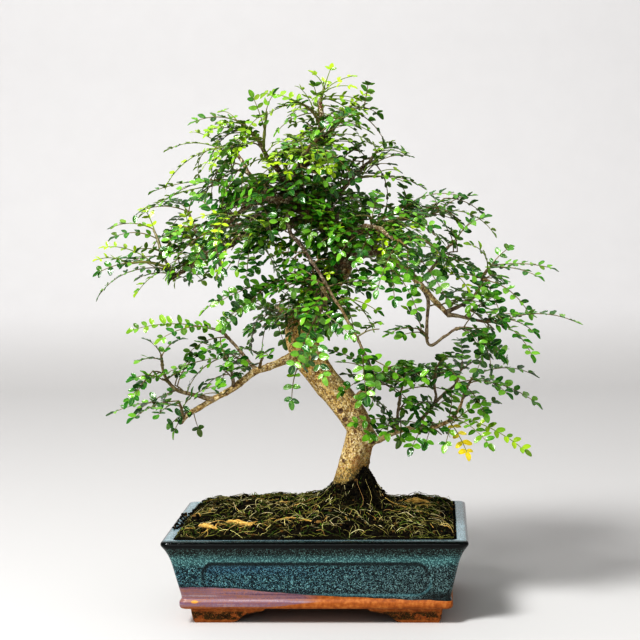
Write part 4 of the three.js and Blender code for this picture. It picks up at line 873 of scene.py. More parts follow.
# A mat of dark rootlets hangs down the mound from the trunk's foot, with a few pale ones among them.
mound_turn = soil_rng.uniform(0, 2 * math.pi, MOUND_ROOTS)
walk = np.linspace(0, 1, 10)
reach = soil_rng.uniform(8, 26, MOUND_ROOTS)[:, None] + soil_rng.uniform(7, 20, MOUND_ROOTS)[:, None] * walk
angle = mound_turn[:, None] + 0.35 * np.sin(3 * walk + 6 * mound_turn[:, None]) * walk
mound_x = TRUNK_FOOT_X + 4 + reach * np.cos(angle)
mound_y = TRUNK_FOOT_Y + reach * np.sin(angle)
sunk = 0.5 - 1.6 * (2 * walk - 1) ** 4 + 0.5 * np.sin(9 * walk + mound_turn[:, None])
mound_z = soil_height(mound_x, mound_y) + sunk
mound_paths = np.stack([mound_x, mound_y, mound_z], axis=-1)
mound_radii = soil_rng.uniform(0.18, 0.5, (MOUND_ROOTS, 1)) * np.linspace(1, 0.5, 10)
rootlets = tubes(mound_paths, mound_radii, 3)
rootlet_tone = np.where(soil_rng.random(MOUND_ROOTS) < 0.93, 0.1 * soil_rng.random(MOUND_ROOTS),
                        soil_rng.uniform(0.2, 0.34, MOUND_ROOTS))
rootlets.marks = {"tone": np.repeat(rootlet_tone, len(rootlets.corners) // MOUND_ROOTS)}
make_piece("mound_rootlets", rootlets, straw)


# Trunk
# The old trunk leans left out of its mound, turns back at a swelling and winds on up through the crown.
# Its bark is tan, finely flecked and furrowed lengthwise, with knots, scars and one dark cut stub. The
# points, in millimetres, run from the foot of each limb to its end, with the thickness at each.
WOOD = {
    "trunk": (
        [
            (25, 0, 70), (26, 0, 95), (28, 0, 117), (33, -2, 139), (33, -2, 154), (18, 0, 177),
            (2, 3, 197), (-12, 6, 220), (-14, 8, 242), (3, 8, 267), (22, 4, 291), (19, 0, 314),
            (-3, -2, 334), (-21, 2, 350), (-13, 4, 371), (2, 3, 392), (6, 0, 412), (5, 0, 430),
        ],
        [19, 16.5, 13, 11.8, 11, 12.2, 11.6, 13, 12.3, 10.5, 9.3, 8.6, 7.8, 6.4, 4.4, 3.2, 2.2, 1.4],
    ),
    "lowLeft": (
        [
            (-10, 6, 219), (-31, -6, 209), (-51, -10, 202), (-71, -13, 188), (-88, -15, 178),
            (-108, -17, 167), (-117, -18, 158),
        ],
        [4.6, 3.2, 2.9, 2.7, 2.4, 2, 1.6],
    ),
    "lowLeftRise": (
        [(-51, -10, 202), (-65, -14, 218), (-76, -18, 233)],
        [1.7, 1.4, 1.1],
    ),
    "lowLeftSpur": (
        [(-71, -13, 188), (-72, -18, 202), (-74, -22, 214)],
        [1.4, 1.2, 1],
    ),
    "lowLeftFork": (
        [(-88, -15, 178), (-107, -19, 183), (-119, -23, 188), (-127, -27, 200), (-129, -30, 211)],
        [1.9, 1.6, 1.4, 1.2, 1],
    ),
    "lowRight": (
        [
            (31, -2, 145), (47, -5, 141), (65, -9, 149), (81, -12, 153), (97, -14, 154),
            (110, -16, 159), (119, -17, 169), (123, -18, 182),
        ],
        [3.8, 3, 2.3, 2, 1.8, 1.6, 1.3, 1],
    ),
    "lowRightSpur": (
        [(66, -9, 150), (67, -12, 162), (69, -16, 175)],
        [1.4, 1.2, 1],
    ),
    "lowRightRise": (
        [(81, -12, 153), (97, -6, 171), (110, 2, 182), (118, 8, 188)],
        [1.7, 1.4, 1.2, 1],
    ),
    "lowRightTwig": (
        [(99, -5, 173), (99, -16, 185), (99, -24, 196)],
        [1.2, 1.1, 0.9],
    ),
    "burlShoot": (
        [(22, -2, 172), (35, -13, 181), (48, -22, 191), (54, -27, 199)],
        [3, 1.8, 1.5, 1.2],
    ),
    "archRight": (
        [
            (20, 2, 290), (36, -8, 299), (54, -18, 303), (69, -24, 293), (82, -28, 281),
            (96, -32, 265), (111, -36, 249),
        ],
        [5.5, 4, 3.5, 3.1, 2.7, 2.3, 1.7],
    ),
    "archDrop": (
        [(91, -30, 271), (94, -36, 258), (94, -44, 227), (107, -52, 234), (118, -58, 241)],
        [1.6, 1.4, 1.2, 1.1, 1],
    ),
    "archLift": (
        [(86, -29, 276), (98, -22, 288), (108, -16, 302)],
        [1.5, 1.3, 1],
    ),
    "archFar": (
        [(108, -35, 251), (129, -28, 262), (138, -24, 276), (141, -22, 283)],
        [1.6, 1.3, 1.1, 0.9],
    ),
    "archTip": (
        [(110, -36, 250), (127, -44, 247), (142, -50, 245)],
        [1.6, 1.3, 1],
    ),
    "leftLimb": (
        [
            (2, 0, 331), (-22, 4, 325), (-52, 8, 319), (-74, 12, 309), (-96, 15, 298),
            (-110, 18, 289), (-128, 22, 278),
        ],
        [5.4, 4.2, 3.6, 3.1, 2.5, 2, 1.5],
    ),
    "leftLimbRise": (
        [(-96, 15, 298), (-102, 20, 312), (-107, 24, 324)],
        [1.6, 1.3, 1],
    ),
    "leftLimbShoot": (
        [(-123, 21, 281), (-130, 14, 293), (-134, 8, 306)],
        [1.4, 1.2, 1],
    ),
    "hangingTwig": (
        [
            (-10, 0, 338), (-21, -20, 334), (-19, -34, 320), (-7, -42, 305), (13, -48, 273),
            (28, -52, 247), (37, -54, 231),
        ],
        [2.2, 1.8, 1.6, 1.5, 1.4, 1.3, 1],
    ),
    "leftRear": (
        [
            (-20, 2, 347), (-38, 12, 343), (-47, 18, 354), (-58, 25, 368), (-68, 31, 382),
            (-76, 36, 391),
        ],
        [4, 2.8, 2.2, 1.8, 1.4, 1.1],
    ),
    "leftUpper": (
        [(-21, 2, 351), (-30, -8, 370), (-39, -16, 382), (-46, -24, 397), (-55, -30, 406)],
        [3.6, 2.3, 1.9, 1.5, 1.1],
    ),
    "rightUpper": (
        [(0, 4, 386), (12, 12, 402), (22, 18, 413), (27, 23, 421)],
        [2.6, 1.8, 1.4, 1.1],
    ),
    "rightShelf": (
        [(19, 0, 314), (47, 14, 320), (67, 25, 327), (86, 34, 329), (99, 42, 330)],
        [4.4, 2.8, 2.2, 1.7, 1.2],
    ),
    "rightInner": (
        [(2, 0, 330), (22, 12, 353), (35, 22, 368), (47, 30, 378)],
        [3.6, 2, 1.6, 1.2],
    ),
    "rearLow": (
        [(-13, 7, 234), (-26, 36, 242), (-36, 66, 247), (-42, 90, 247)],
        [4, 2.6, 2, 1.3],
    ),
    "rearRight": (
        [(21, 4, 289), (38, 34, 296), (54, 66, 296), (64, 92, 291)],
        [4.4, 2.8, 2.1, 1.4],
    ),
    "rearMiddle": (
        [(14, 0, 320), (15, 33, 333), (9, 68, 338), (2, 96, 336)],
        [4.2, 2.6, 2, 1.3],
    ),
    "rearLeft": (
        [(-9, -1, 340), (-33, 38, 335), (-58, 64, 330), (-78, 86, 320)],
        [4, 2.6, 1.9, 1.3],
    ),
    "rearTop": (
        [(-12, 4, 373), (-9, 30, 386), (-4, 54, 390)],
        [2.6, 1.8, 1.2],
    ),
    "frontMiddle": (
        [(4, 6, 266), (1, -22, 276), (6, -52, 276), (15, -80, 267)],
        [4, 2.6, 2, 1.2],
    ),
    "frontLeft": (
        [(-14, 0, 343), (-33, -32, 347), (-53, -62, 341), (-64, -88, 329)],
        [3.8, 2.4, 1.8, 1.2],
    ),
    "frontRight": (
        [(20, 0, 308), (37, -28, 321), (55, -58, 322), (70, -84, 312)],
        [4, 2.5, 1.9, 1.2],
    ),
    "frontTop": (
        [(-14, 3, 367), (-8, -25, 383), (-2, -52, 386)],
        [2.6, 1.7, 1.2],
    ),
}
# Knots and scars: place, size, how far each stands out, and how dark its middle is.
KNOTS = [
    ((44, -7, 143), 6.4, 4.2, 1.0), ((22, -6, 168), 5.2, 1.6, 0.7), ((-30, -4, 350), 5.6, 4.0, 0.9),
    ((-8, -8, 238), 4.4, 2.2, 0.5), ((32, -4, 300), 4.6, 3.0, 0.6), ((20, -12, 125), 3.2, 0.9, 0.8),
    ((23, -13, 160), 4.0, 1.8, 0.9), ((-2, -6, 204), 3.4, 0.9, 0.5), ((38, 2, 122), 3.0, 0.8, 0.5),
    ((-14, -4, 226), 3.6, 1.6, 0.4), ((8, 16, 200), 4.2, 1.8, 0.6), ((40, 10, 150), 4.0, 2.0, 0.5),
    ((-22, 14, 232), 4.4, 2.2, 0.6), ((26, -8, 282), 3.4, 1.6, 0.6),
]
TRUNK_SIDES, TRUNK_STEPS = 88, 380
FLARE_FOOT, FLARE_SPREAD = 84, 13
MOSS_TOP, RUST_HEIGHT, LICHEN_LOW = 98, 124, 170


def bark_relief(grain, points, depth):
    """Furrows from noise drawn out along the wood, small pores, and slow swellings."""
    along = grain * [1, 1, 0.45]
    furrows = noise(along, 2.6, 51) + 0.6 * noise(along, 1.3, 52)
    pores = noise(points, 1.5, 53)
    swelling = noise(points, 13, 54)
    return depth * (0.7 * furrows + 0.6 * pores) + 1.5 * depth * swelling


def trunk_surface():
    """A tube of many rings whose radius swells at the knots and spreads into root flares at the foot."""
    points, radii = WOOD["trunk"]
    t = np.linspace(0, 1, TRUNK_STEPS)
    path = smooth_curve(points, t)
    thick = np.interp(t * (len(radii) - 1), np.arange(len(radii)), radii)
    pad = 9
    thick = np.convolve(np.pad(thick, pad, "edge"), np.hanning(2 * pad + 3)[1:-1], "valid")
    thick /= np.hanning(2 * pad + 3)[1:-1].sum()
    tube = tubes(path[None], thick[None], TRUNK_SIDES)
    middle = np.concatenate([np.repeat(path, TRUNK_SIDES, axis=0), path[:1], path[-1:]])
    radius = np.concatenate([np.repeat(thick, TRUNK_SIDES), thick[:1], thick[-1:]])
    out = tube.corners - middle
    length = np.maximum(np.linalg.norm(out, axis=-1), 1e-6)
    way = out / length[:, None]
    turn = np.arctan2(way[:, 1], way[:, 0])
    height = tube.corners[:, 2]
    foot = np.exp(-np.maximum(height - FLARE_FOOT, 0) / FLARE_SPREAD)
    flare = radius * foot * (0.05 + 0.16 * np.cos(5 * turn + 0.8) + 0.09 * np.cos(8 * turn + 2.0))
    share_up = np.concatenate([np.repeat(t, TRUNK_SIDES), [0, 1]])
    waviness = 0.055 * np.sin(3 * turn + 9 * share_up) + 0.04 * np.sin(5 * turn - 23 * share_up)
    rise = flare + radius * waviness + bark_relief(tube.marks["grain"], tube.corners, 0.085 * radius**0.75)
    scar = np.zeros(len(height))
    for place, size, proud, dark in KNOTS:
        centre = tube.corners[np.argmin(((tube.corners - place) ** 2).sum(axis=-1))]
        away = np.linalg.norm(tube.corners - centre, axis=-1) / size
        ragged = away * (1 + 0.5 * noise(tube.corners, 3.1, 57))
        rise += proud * np.exp(-(away**3)) - 0.3 * size * np.exp(-((ragged / 0.4) ** 2)) * min(dark, 0.8)
        rise += 0.5 * np.exp(-(((ragged - 0.75) / 0.22) ** 2))
        scar = np.maximum(scar, dark * np.exp(-((ragged / 0.55) ** 4)))
    rise[-2:] = 0
    tube.corners += way * (rise * (length > 1e-3))[:, None]
    tube.marks["scar"] = scar
    tube.marks["age"] = np.ones(len(height))
    return tube


def limb_surface(number, name, sides=16, steps=56):
    """A limb as a tube with a flared collar at its start, its own crook from noise, and bark relief."""
    points, radii = WOOD[name]
    t = np.linspace(0, 1, steps)
    path = smooth_curve(points, t)
    thick = np.interp(t * (len(radii) - 1), np.arange(len(radii)), radii)
    walked = t * np.linalg.norm(np.diff(path, axis=0), axis=-1).sum()
    crook = np.stack([noise(np.stack([walked, 0 * walked, 0 * walked + k], -1), 9, 60 + number)
                      for k in (3, 17, 29)], axis=-1)
    path = path + crook * np.minimum(1, np.minimum(t, 1 - t) * 8)[:, None] * 1.6
    bud = 0.16 * np.exp(-(((walked % 13.0) - 6.5) / 1.4) ** 2)
    thick = thick * (1 + 0.45 * np.exp(-((walked / (2.2 * radii[0])) ** 2)) + bud)
    thick = np.where(t > 0.985, thick * 0.7, thick)
    tube = tubes(path[None], thick[None], sides)
    middle = np.concatenate([np.repeat(path, sides, axis=0), path[:1], path[-1:]])
    out = tube.corners - middle
    rise = bark_relief(tube.marks["grain"] + [0, 0, 41 * number], tube.corners, 0.16)
    share = rise / np.maximum(np.linalg.norm(out, axis=-1), 0.4)
    tube.corners += out * share[:, None]
    tube.marks["scar"] = 0.6 * smooth_step(0.93, 0.98, np.concatenate([np.repeat(t, sides), [0, 1]]))
    tube.marks["age"] = np.full(len(tube.corners), min(1.0, radii[0] / 5))
    return tube


def bark_material(name, pale, warmth):
    """Bark flecked lengthwise. The lower trunk is warm tan, with painted warm yellow-orange light on its left
    side and grey on its right, with dark pores, pale flecks and a rusty patch; higher and thinner wood turns
    grey-brown and darker, partly as painted shade in the crown. The scar mark darkens cuts. Pale says between
    which heights it turns, and warmth how warm it is."""
    material, start, place = new_material(name)
    x, _, z = place.split()
    grain, scar, age = start.mark("grain", 1), start.mark("scar"), start.mark("age")
    streaks = grain.vector("MULTIPLY", (1.0, 1.0, 0.55)).noise(0.4, 6.0, 0.7)
    flecks = grain.vector("MULTIPLY", (1.0, 1.0, 0.8)).noise(0.8, 3.0, 0.6)
    pores = grain.vector("MULTIPLY", (1.0, 1.0, 0.8)).noise(0.6, 2.0, 0.5)
    lichen = place.noise(0.11, 3.0, 0.6)
    patches = place.noise(0.055, 4.0, 0.6)
    specks = place.cells(0.95) * 0.6 + place.noise(0.3, 3.0) * 0.8 - 0.2
    tan = streaks.ramp((0.30, paint(132, 94, 38)), (0.42, paint(206, 168, 90)), (0.55, paint(232, 200, 128)),
                       (0.72, paint(250, 230, 172)))
    warm = streaks.ramp((0.30, paint(134, 88, 26)), (0.46, paint(220, 172, 72)), (0.70, paint(248, 212, 116)))
    grey = streaks.ramp((0.30, paint(92, 78, 52)), (0.48, paint(172, 156, 116)), (0.70, paint(226, 214, 180)))
    dark = streaks.ramp((0.30, paint(24, 22, 17)), (0.48, paint(68, 61, 46)), (0.70, paint(132, 122, 98)))
    # The left side, where the key light falls, is painted warm yellow-orange as painted light; towards the
    # right the bark turns grey.
    side = 0.5 - x * 0.016 + (z - 150) * 0.005 + (patches - 0.5) * 2.2
    colour = (side.step(0.1, 0.9) * warmth).mix(tan, warm)
    colour = ((1 - side.step(-0.5, 0.2) * warmth) * 0.5).mix(colour, grey)
    # Higher up, in the crown, the wood is painted dark: partly its own grey-brown, partly painted shade from
    # the leaves over it.
    colour = ((z - x * 0.35 + 14 * (patches - 0.5)).step(*pale) * 0.85).mix(colour, dark)
    # Pale grey lichen on the upper bend's right side.
    lichen_height = (z + x * 0.5).step(LICHEN_LOW, LICHEN_LOW + 30)
    colour = (lichen.step(0.46, 0.58) * lichen_height * warmth * 0.7).mix(colour, grey)
    colour = (pores.step(0.56, 0.64) * 0.7).mix(colour, paint(92, 58, 24))
    colour = (flecks.step(0.60, 0.70) * 0.55).mix(colour, paint(70, 46, 24))
    colour = ((1 - flecks.step(0.33, 0.42)) * 0.6).mix(colour, paint(250, 236, 200))
    colour = (specks.step(0.62, 0.74) * 0.7).mix(colour, paint(112, 66, 30))
    colour = ((1 - specks.step(0.22, 0.32)) * 0.6).mix(colour, paint(252, 240, 210))
    rusty = (1 - abs(z - RUST_HEIGHT).step(4.0, 22.0)) * (patches + 0.5 * flecks).step(0.68, 0.86)
    colour = (rusty * warmth * 0.8).mix(colour, paint(150, 82, 56))
    # Black soil and moss climb the foot with a ragged edge, and the bark just above is olive.
    mossy = 1 - (z - x * 0.4 + (patches - 0.5) * 18 + (flecks - 0.5) * 44).step(MOSS_TOP, MOSS_TOP + 12)
    olive = 1 - (z - x * 0.4 + (flecks - 0.5) * 40).step(MOSS_TOP + 2, MOSS_TOP + 26)
    colour = (olive * warmth * 0.6).mix(colour, paint(158, 138, 50))
    colour = (mossy * 0.85).mix(colour, flecks.ramp((0.4, paint(24, 24, 16)), (0.65, paint(96, 88, 38))))
    cut_wood = streaks.ramp((0.3, paint(34, 26, 18)), (0.7, paint(112, 74, 50)))
    colour = (scar.step(0.2, 0.6) * 0.9).mix(colour, cut_wood)
    # Thin limbs are painted grey-brown and darker: partly their own colour, partly painted shade in the
    # crown.
    thin_wood_and_shade = streaks.ramp((0.32, paint(34, 32, 30)), (0.50, paint(92, 82, 74)),
                             (0.68, paint(166, 152, 138)))
    colour = ((1 - age.step(0.25, 0.65)) * 0.75).mix(colour, thin_wood_and_shade)
    relief = (streaks * 1.2 + flecks * 0.7 - specks.step(0.62, 0.74) * 0.5 - pores.step(0.56, 0.64) * 0.8
              + patches * 0.4).bump(0.8, 0.0010)
    close_material(start, base_color=colour, roughness=0.62 + flecks * 0.22, normal=relief)
    return material


trunk_bark = bark_material("tan_bark", (235, 310), 0.75)
branch_bark = bark_material("branch_bark", (243, 285), 0.1)
trunk_tube = trunk_surface()
make_piece("trunk_wood", trunk_tube, trunk_bark, ["trunk"], sharp=70)
limbs = [limb_surface(number, name) for number, name in enumerate(WOOD) if name != "trunk"]
make_piece("branches", Surface.joined(limbs), branch_bark, ["trunk"], sharp=70)


# Leafy twigs
# Fifty-one green shoots carry the leaves: each leaf is an arched stalk with pairs of small glossy
# leaflets and one at its end. Every shoot grows out of its limb by the frame's own rule, so that its
# leaves lie where the frame's solid leaves do.

# A row gives the limb that a shoot grows on and the share of the way along it, the shoot's tip, how
# many leaves, their usual length, and the tips of leaves that the photograph shows, each with how far
# the leaf turns its face to the front.
TWIGS = {
    "low_left_rise": ("lowLeftRise", 0.9, (-81, -24, 238), 3, 50, [
        (-152, -40, 240, 0.9), (-128, -52, 234, 0.8), (-70, -6, 252, 0.5),
    ]),
    "low_left_spur": ("lowLeftSpur", 0.85, (-75, -26, 219), 3, 40, [
        (-127, -34, 202, 0.3), (-61, -40, 214, 0.5), (-90, -44, 222, 0.6),
    ]),
    "low_left_shoot": ("lowLeftFork", 0.95, (-129, -34, 219), 3, 34, [
        (-143, -54, 216, 0.7), (-114, -20, 230, 0.4), (-137, -44, 231, 0.4),
    ]),
    "low_left_side": ("lowLeftFork", 0.62, (-129, -34, 198), 2, 34, [
        (-103, -50, 206, 0.4), (-149, -50, 201, 0.9),
    ]),
    "low_left_tip": ("lowLeft", 0.92, (-116, -27, 179), 4, 44, [
        (-79, -50, 194, 0.5), (-169, -40, 171, 0.15), (-128, -66, 172, 0.6), (-150, -55, 168, 0.2),
    ]),
    "low_left_near": ("lowLeft", 0.32, (-44, -28, 215), 3, 40, [
        (-65, -40, 202, 0.4), (-57, -50, 225, 0.3),
    ]),
    "low_left_hanging": ("trunk", 0.39, (-17, -20, 203), 2, 30, [
        (-29, -34, 190, 0.6), (-20, -36, 179, 0.6),
    ]),
    "left_centre": ("frontMiddle", 0.35, (-41, -50, 276), 5, 50, [
        (-75, -64, 245, 0.9), (-77, -70, 264, 0.9), (-50, -78, 262, 0.6),
    ]),
    "left_limb_near": ("leftLimb", 0.36, (-55, -13, 307), 5, 50, [
        (-64, -30, 289, 0.6), (-47, -34, 290, 0.6),
    ]),
    "left_limb_end": ("leftLimb", 0.95, (-141, 26, 288), 4, 52, [
        (-102, -10, 282, 0.7), (-153, 0, 269, 0.1), (-190, 20, 265, 0.15),
    ]),
    "left_limb_shoot": ("leftLimbShoot", 0.3, (-163, 4, 293), 3, 36, [
        (-183, 10, 307, 0.6), (-186, 0, 286, 0.8), (-183, -20, 298, 0.6),
    ]),
    "left_limb_rise": ("leftLimbShoot", 0.95, (-141, 16, 322), 3, 44, [
        (-172, 0, 316, 0.3), (-153, 40, 339, 0.3), (-176, 20, 324, 0.3),
    ]),
    "left_limb_crown": ("leftLimbRise", 0.92, (-114, 30, 338), 5, 44, [(-106, 54, 302, 0.2)]),
    "left_rear_side": ("leftRear", 0.5, (-94, 22, 357), 3, 46, [
        (-131, 10, 345, 0.2), (-142, 30, 354, 0.2), (-155, 44, 334, 0.3),
    ]),
    "left_rear_end": ("leftRear", 0.95, (-90, 42, 390), 4, 46, [
        (-130, 30, 360, 0.2), (-104, 30, 404, 0.3), (-131, 50, 390, 0.2),
    ]),
    "left_upper_end": ("leftUpper", 0.95, (-62, -34, 412), 3, 44, [
        (-83, -60, 401, 0.2), (-95, -50, 411, 0.15), (-75, -20, 420, 0.2),
    ]),
    "left_upper_side": ("leftUpper", 0.6, (-37, -30, 419), 3, 30, [
        (-48, -36, 431, 0.6), (-31, -34, 433, 0.6), (-60, -54, 386, 0.3),
    ]),
    "top": ("trunk", 0.99, (9, 0, 440), 4, 26, [
        (32, -14, 439, 0.5), (31, 4, 448, 0.4), (1, -4, 450, 0.5), (14, 6, 455, 0.4),
    ]),
    "top_side": ("trunk", 0.93, (-8, -15, 425), 5, 42, [
        (-10, -24, 438, 0.5), (-22, 26, 414, 0.3),
    ]),
    "right_upper_end": ("rightUpper", 0.95, (31, 27, 425), 3, 26, [
        (41, 30, 430, 0.2), (42, 8, 419, 0.2),
    ]),
    "right_inner_end": ("rightInner", 0.95, (52, 34, 386), 4, 38, [
        (63, 46, 393, 0.4), (74, 26, 383, 0.3),
    ]),
    "right_inner_side": ("rightInner", 0.45, (54, 8, 364), 4, 44, [
        (57, 0, 381, 0.5), (76, -4, 359, 0.4), (68, 14, 369, 0.4),
    ]),
    "right_shelf_end": ("rightShelf", 0.95, (107, 47, 333), 4, 46, [
        (118, 34, 325, 0.3), (100, 62, 344, 0.3), (131, 50, 346, 0.2),
    ]),
    "right_shelf_side": ("rightShelf", 0.55, (78, 10, 340), 5, 50, [(75, -20, 344, 0.3)]),
    "arch_lift": ("archLift", 0.95, (118, -12, 309), 3, 44, [
        (104, -40, 313, 0.5), (130, -2, 325, 0.7), (141, -22, 329, 0.3),
    ]),
    "arch_far": ("archFar", 0.95, (147, -20, 289), 4, 48, [
        (129, -44, 308, 0.5), (184, -46, 281, 0.2), (161, -14, 303, 0.3), (196, -30, 287, 0.1),
    ]),
    "arch_far_side": ("archFar", 0.7, (145, -34, 277), 3, 42, [(155, -50, 245, 1.5)]),
    "arch_tip": ("archTip", 0.95, (153, -54, 243), 4, 52, [
        (179, -74, 238, 0.3), (179, -40, 252, 0.3), (213, -60, 245, 0.1),
    ]),
    "arch_drop_end": ("archDrop", 0.96, (127, -62, 240), 3, 44, [
        (135, -92, 230, 0.6), (152, -76, 219, 0.9),
    ]),
    "arch_drop_side": ("archDrop", 0.45, (86, -54, 240), 3, 36, [
        (73, -64, 236, 0.7), (78, -62, 256, 0.6),
    ]),
    "arch_under": ("archRight", 0.42, (64, -40, 288), 4, 44, [
        (43, -56, 287, 0.8), (67, -62, 264, 1),
    ]),
    "arch_middle": ("archRight", 0.6, (92, -42, 295), 4, 52, [(83, -64, 274, 0.8)]),
    "arch_top": ("archRight", 0.22, (60, -42, 320), 5, 50, []),
    "front_middle_end": ("frontMiddle", 0.95, (4, -92, 250), 6, 50, []),
    "front_right_end": ("frontRight", 0.95, (78, -102, 309), 4, 52, []),
    "front_left_end": ("frontLeft", 0.95, (-74, -104, 324), 6, 52, [
        (-60, -58, 360, 0.3), (-92, -66, 350, 0.3),
    ]),
    "front_top_end": ("frontTop", 0.95, (4, -68, 392), 5, 46, []),
    "hanging_end": ("hangingTwig", 0.97, (42, -66, 219), 4, 44, [(52, -74, 200, 0.6)]),
    "low_right_end": ("lowRight", 0.96, (131, -22, 197), 4, 50, [
        (140, -44, 168, 0.3), (158, -50, 186, 0.4), (183, -30, 175, 0.3),
    ]),
    "low_right_side": ("lowRight", 0.78, (117, -30, 162), 3, 42, [
        (107, -46, 143, 0.7), (173, -50, 138, 0.9),
    ]),
    "low_right_under": ("lowRight", 0.6, (91, -28, 159), 3, 34, [
        (91, -46, 145, 0.7), (76, -40, 152, 0.6),
    ]),
    "low_right_base": ("lowRight", 0.28, (62, -30, 161), 3, 36, [(44, -46, 151, 0.8)]),
    "low_right_spur": ("lowRightSpur", 0.9, (72, -24, 190), 4, 52, []),
    "low_right_rise": ("lowRightRise", 0.95, (122, 14, 200), 4, 44, []),
    "low_right_middle": ("lowRightTwig", 0.9, (100, -33, 207), 4, 40, [(110, -44, 219, 0.3)]),
    "burl_shoot": ("burlShoot", 0.95, (62, -36, 207), 4, 42, [
        (38, -54, 181, 0.7), (94, -56, 197, 0.6),
    ]),
    "rear_low_end": ("rearLow", 0.95, (-50, 104, 246), 4, 54, [(-12, 84, 244, 0.2)]),
    "rear_right_end": ("rearRight", 0.95, (74, 106, 290), 4, 54, [(30, 88, 304, 0.2)]),
    "rear_middle_end": ("rearMiddle", 0.95, (-2, 112, 335), 5, 54, [
        (30, 66, 350, 0.2), (-26, 78, 352, 0.2),
    ]),
    "rear_left_end": ("rearLeft", 0.95, (-92, 98, 317), 5, 54, [
        (-50, 78, 350, 0.2), (-96, 58, 322, 0.2),
    ]),
    "rear_top_end": ("rearTop", 0.95, (-2, 70, 396), 5, 46, [
        (-24, 34, 364, 0.2), (16, 34, 372, 0.2),
    ]),
}
# How much of a shoot's growth is this year's, and so yellow-green and thin.
YOUNG = {
    "top": 0.75, "top_side": 0.5, "left_upper_side": 0.8, "left_upper_end": 0.45, "left_rear_end": 0.55,
    "left_limb_shoot": 0.7, "left_limb_rise": 0.55, "left_limb_end": 0.3, "left_rear_side": 0.5,
    "right_inner_side": 0.6, "right_inner_end": 0.35, "right_upper_end": 0.45, "low_right_side": 0.35,
    "arch_far": 0.3, "rear_top_end": 0.4, "low_left_rise": 0.25, "right_shelf_end": 0.3,
}
TWIG_RADII = [1.5, 1.1, 0.85]
LEAF_TRIES, TIP_REACH = 30, 0.4
GOLDEN_ANGLE = 2.399963
LEAFLET_LENGTH, LEAFLET_WIDTH, LEAFLET_PITCH = 8.7, 5.6, 7.3


def chance(*keys):
    """A number from 0 to 1 that depends on whole numbers alone: they are folded in by exclusive or,
    multiplied and shifted within 32 bits."""
    mask = 0xFFFFFFFF
    held = 2166136261
    for key in keys:
        held = ((held ^ key) * 16777619) & mask
        held = ((held ^ (held >> 13)) * 1540483477) & mask
        held ^= held >> 15
    return held / 2**32


def unit(vector):
    """The vector at a length of one."""
    return vector / np.linalg.norm(vector)


def turned(vector, axis, angle):
    """The vector turned about the unit axis by the right-hand rule."""
    cosine, sine = math.cos(angle), math.sin(angle)
    return vector * cosine + np.cross(axis, vector) * sine + axis * np.dot(axis, vector) * (1 - cosine)


def twig_curve(limb, at, tip):
    """The three points of a shoot: where it leaves its limb, a raised middle, and its tip."""
    start = smooth_curve(WOOD[limb][0], np.array([at]))[0]
    end = np.array(tip, float)
    middle = (start + end) / 2 + [0, 0, 0.08 * np.linalg.norm(end - start)]
    return [start, middle, end]


def tangent_at(points, t):
    """The way that the curve runs at t, from two places close to it."""
    low, high = max(t - 1e-4, 0), min(t + 1e-4, 1)
    before, after = smooth_curve(points, np.array([low, high]))
    return unit(after - before)


def leaf_place(index, row, points, leaf, attempt):
    """Where a leaf grows and how it is held: an aimed leaf runs to its own tip, and the others stand
    round the shoot by the golden angle. Each further try turns the leaf another way."""
    count, usual, aims = row[3], row[4], row[5]

    def draw(k):
        """From -0.5 to 0.5, by the shoot, the leaf, the try and a number for each use."""
        return chance(index, leaf, attempt, k) - 0.5

    share = leaf / (count - 1) if count > 1 else 1
    t = 0.4 + 0.58 * share
    base, tangent = smooth_curve(points, np.array([t]))[0], tangent_at(points, t)
    arch = 0.8 + 0.7 * draw(6)
    length = usual * (1 + 0.3 * draw(5))
    facing = 0.2
    aimed = leaf < len(aims)
    if aimed:
        spread = 1.5 * attempt
        facing = aims[leaf][3]
        wobble = np.array([spread * draw(1), 2 * spread * draw(2), spread * draw(3)])
        chord = np.array(aims[leaf][:3]) + wobble - base
        length = np.linalg.norm(chord) * arch / 2 / math.sin(arch / 2)
        heading = unit(chord)
    else:
        level = np.array([-tangent[1], tangent[0], 0])
        if np.linalg.norm(level) < 0.2:
            level = np.array([base[1] - TRUNK_FOOT_Y, TRUNK_FOOT_X - base[0], 0])
        level = unit(level)
        upward = unit(np.cross(level, tangent))
        turn = leaf * GOLDEN_ANGLE + index + draw(1) * (1 + 0.2 * attempt)
        opening = 1.15 + (0.45 - 1.15) * share + 0.5 * draw(2)
        heading = (tangent * math.cos(opening) + level * math.sin(opening) * math.cos(turn)
                   + upward * 0.6 * math.sin(opening) * math.sin(turn))
        heading[2] = 0.7 * heading[2] + 0.1 + 0.4 * draw(3)
        heading = unit(heading)
    outward = unit(np.array([base[0] - 5, base[1], 0]))
    normal = np.array([0, -facing, 1]) + 0.25 * outward
    normal = unit(normal - np.dot(normal, heading) * heading)
    normal = turned(normal, heading, (0.4 if aimed else 1.1) * draw(4))
    if aimed:
        side = np.cross(heading, normal)
        heading, normal = turned(heading, side, arch / 2), turned(normal, side, arch / 2)
    return base, heading, normal, length, arch


def leaf_frame(base, heading, normal, length, arch, t):
    """Places on a leaf's stalk, which is an arc of a circle, with the ways ahead and up at each."""
    angle = (arch * t)[..., None]
    sine, cosine = np.sin(angle), np.cos(angle)
    place = base + heading * length * sine / arch - normal * length * (1 - cosine) / arch
    return place, heading * cosine - normal * sine, normal * cosine + heading * sine


def frame_leaf_tip(base, heading, normal, length, arch):
    """The tip of the frame's own solid leaf, which runs on straight from its last pair."""
    last = 0.638 if length <= 40 else 0.73
    place, ahead, up = leaf_frame(base, heading, normal, length, arch, np.array(last))
    run = length * (1 - last) * 0.98
    return place + ahead * run - up * run * run * arch / (2 * length)


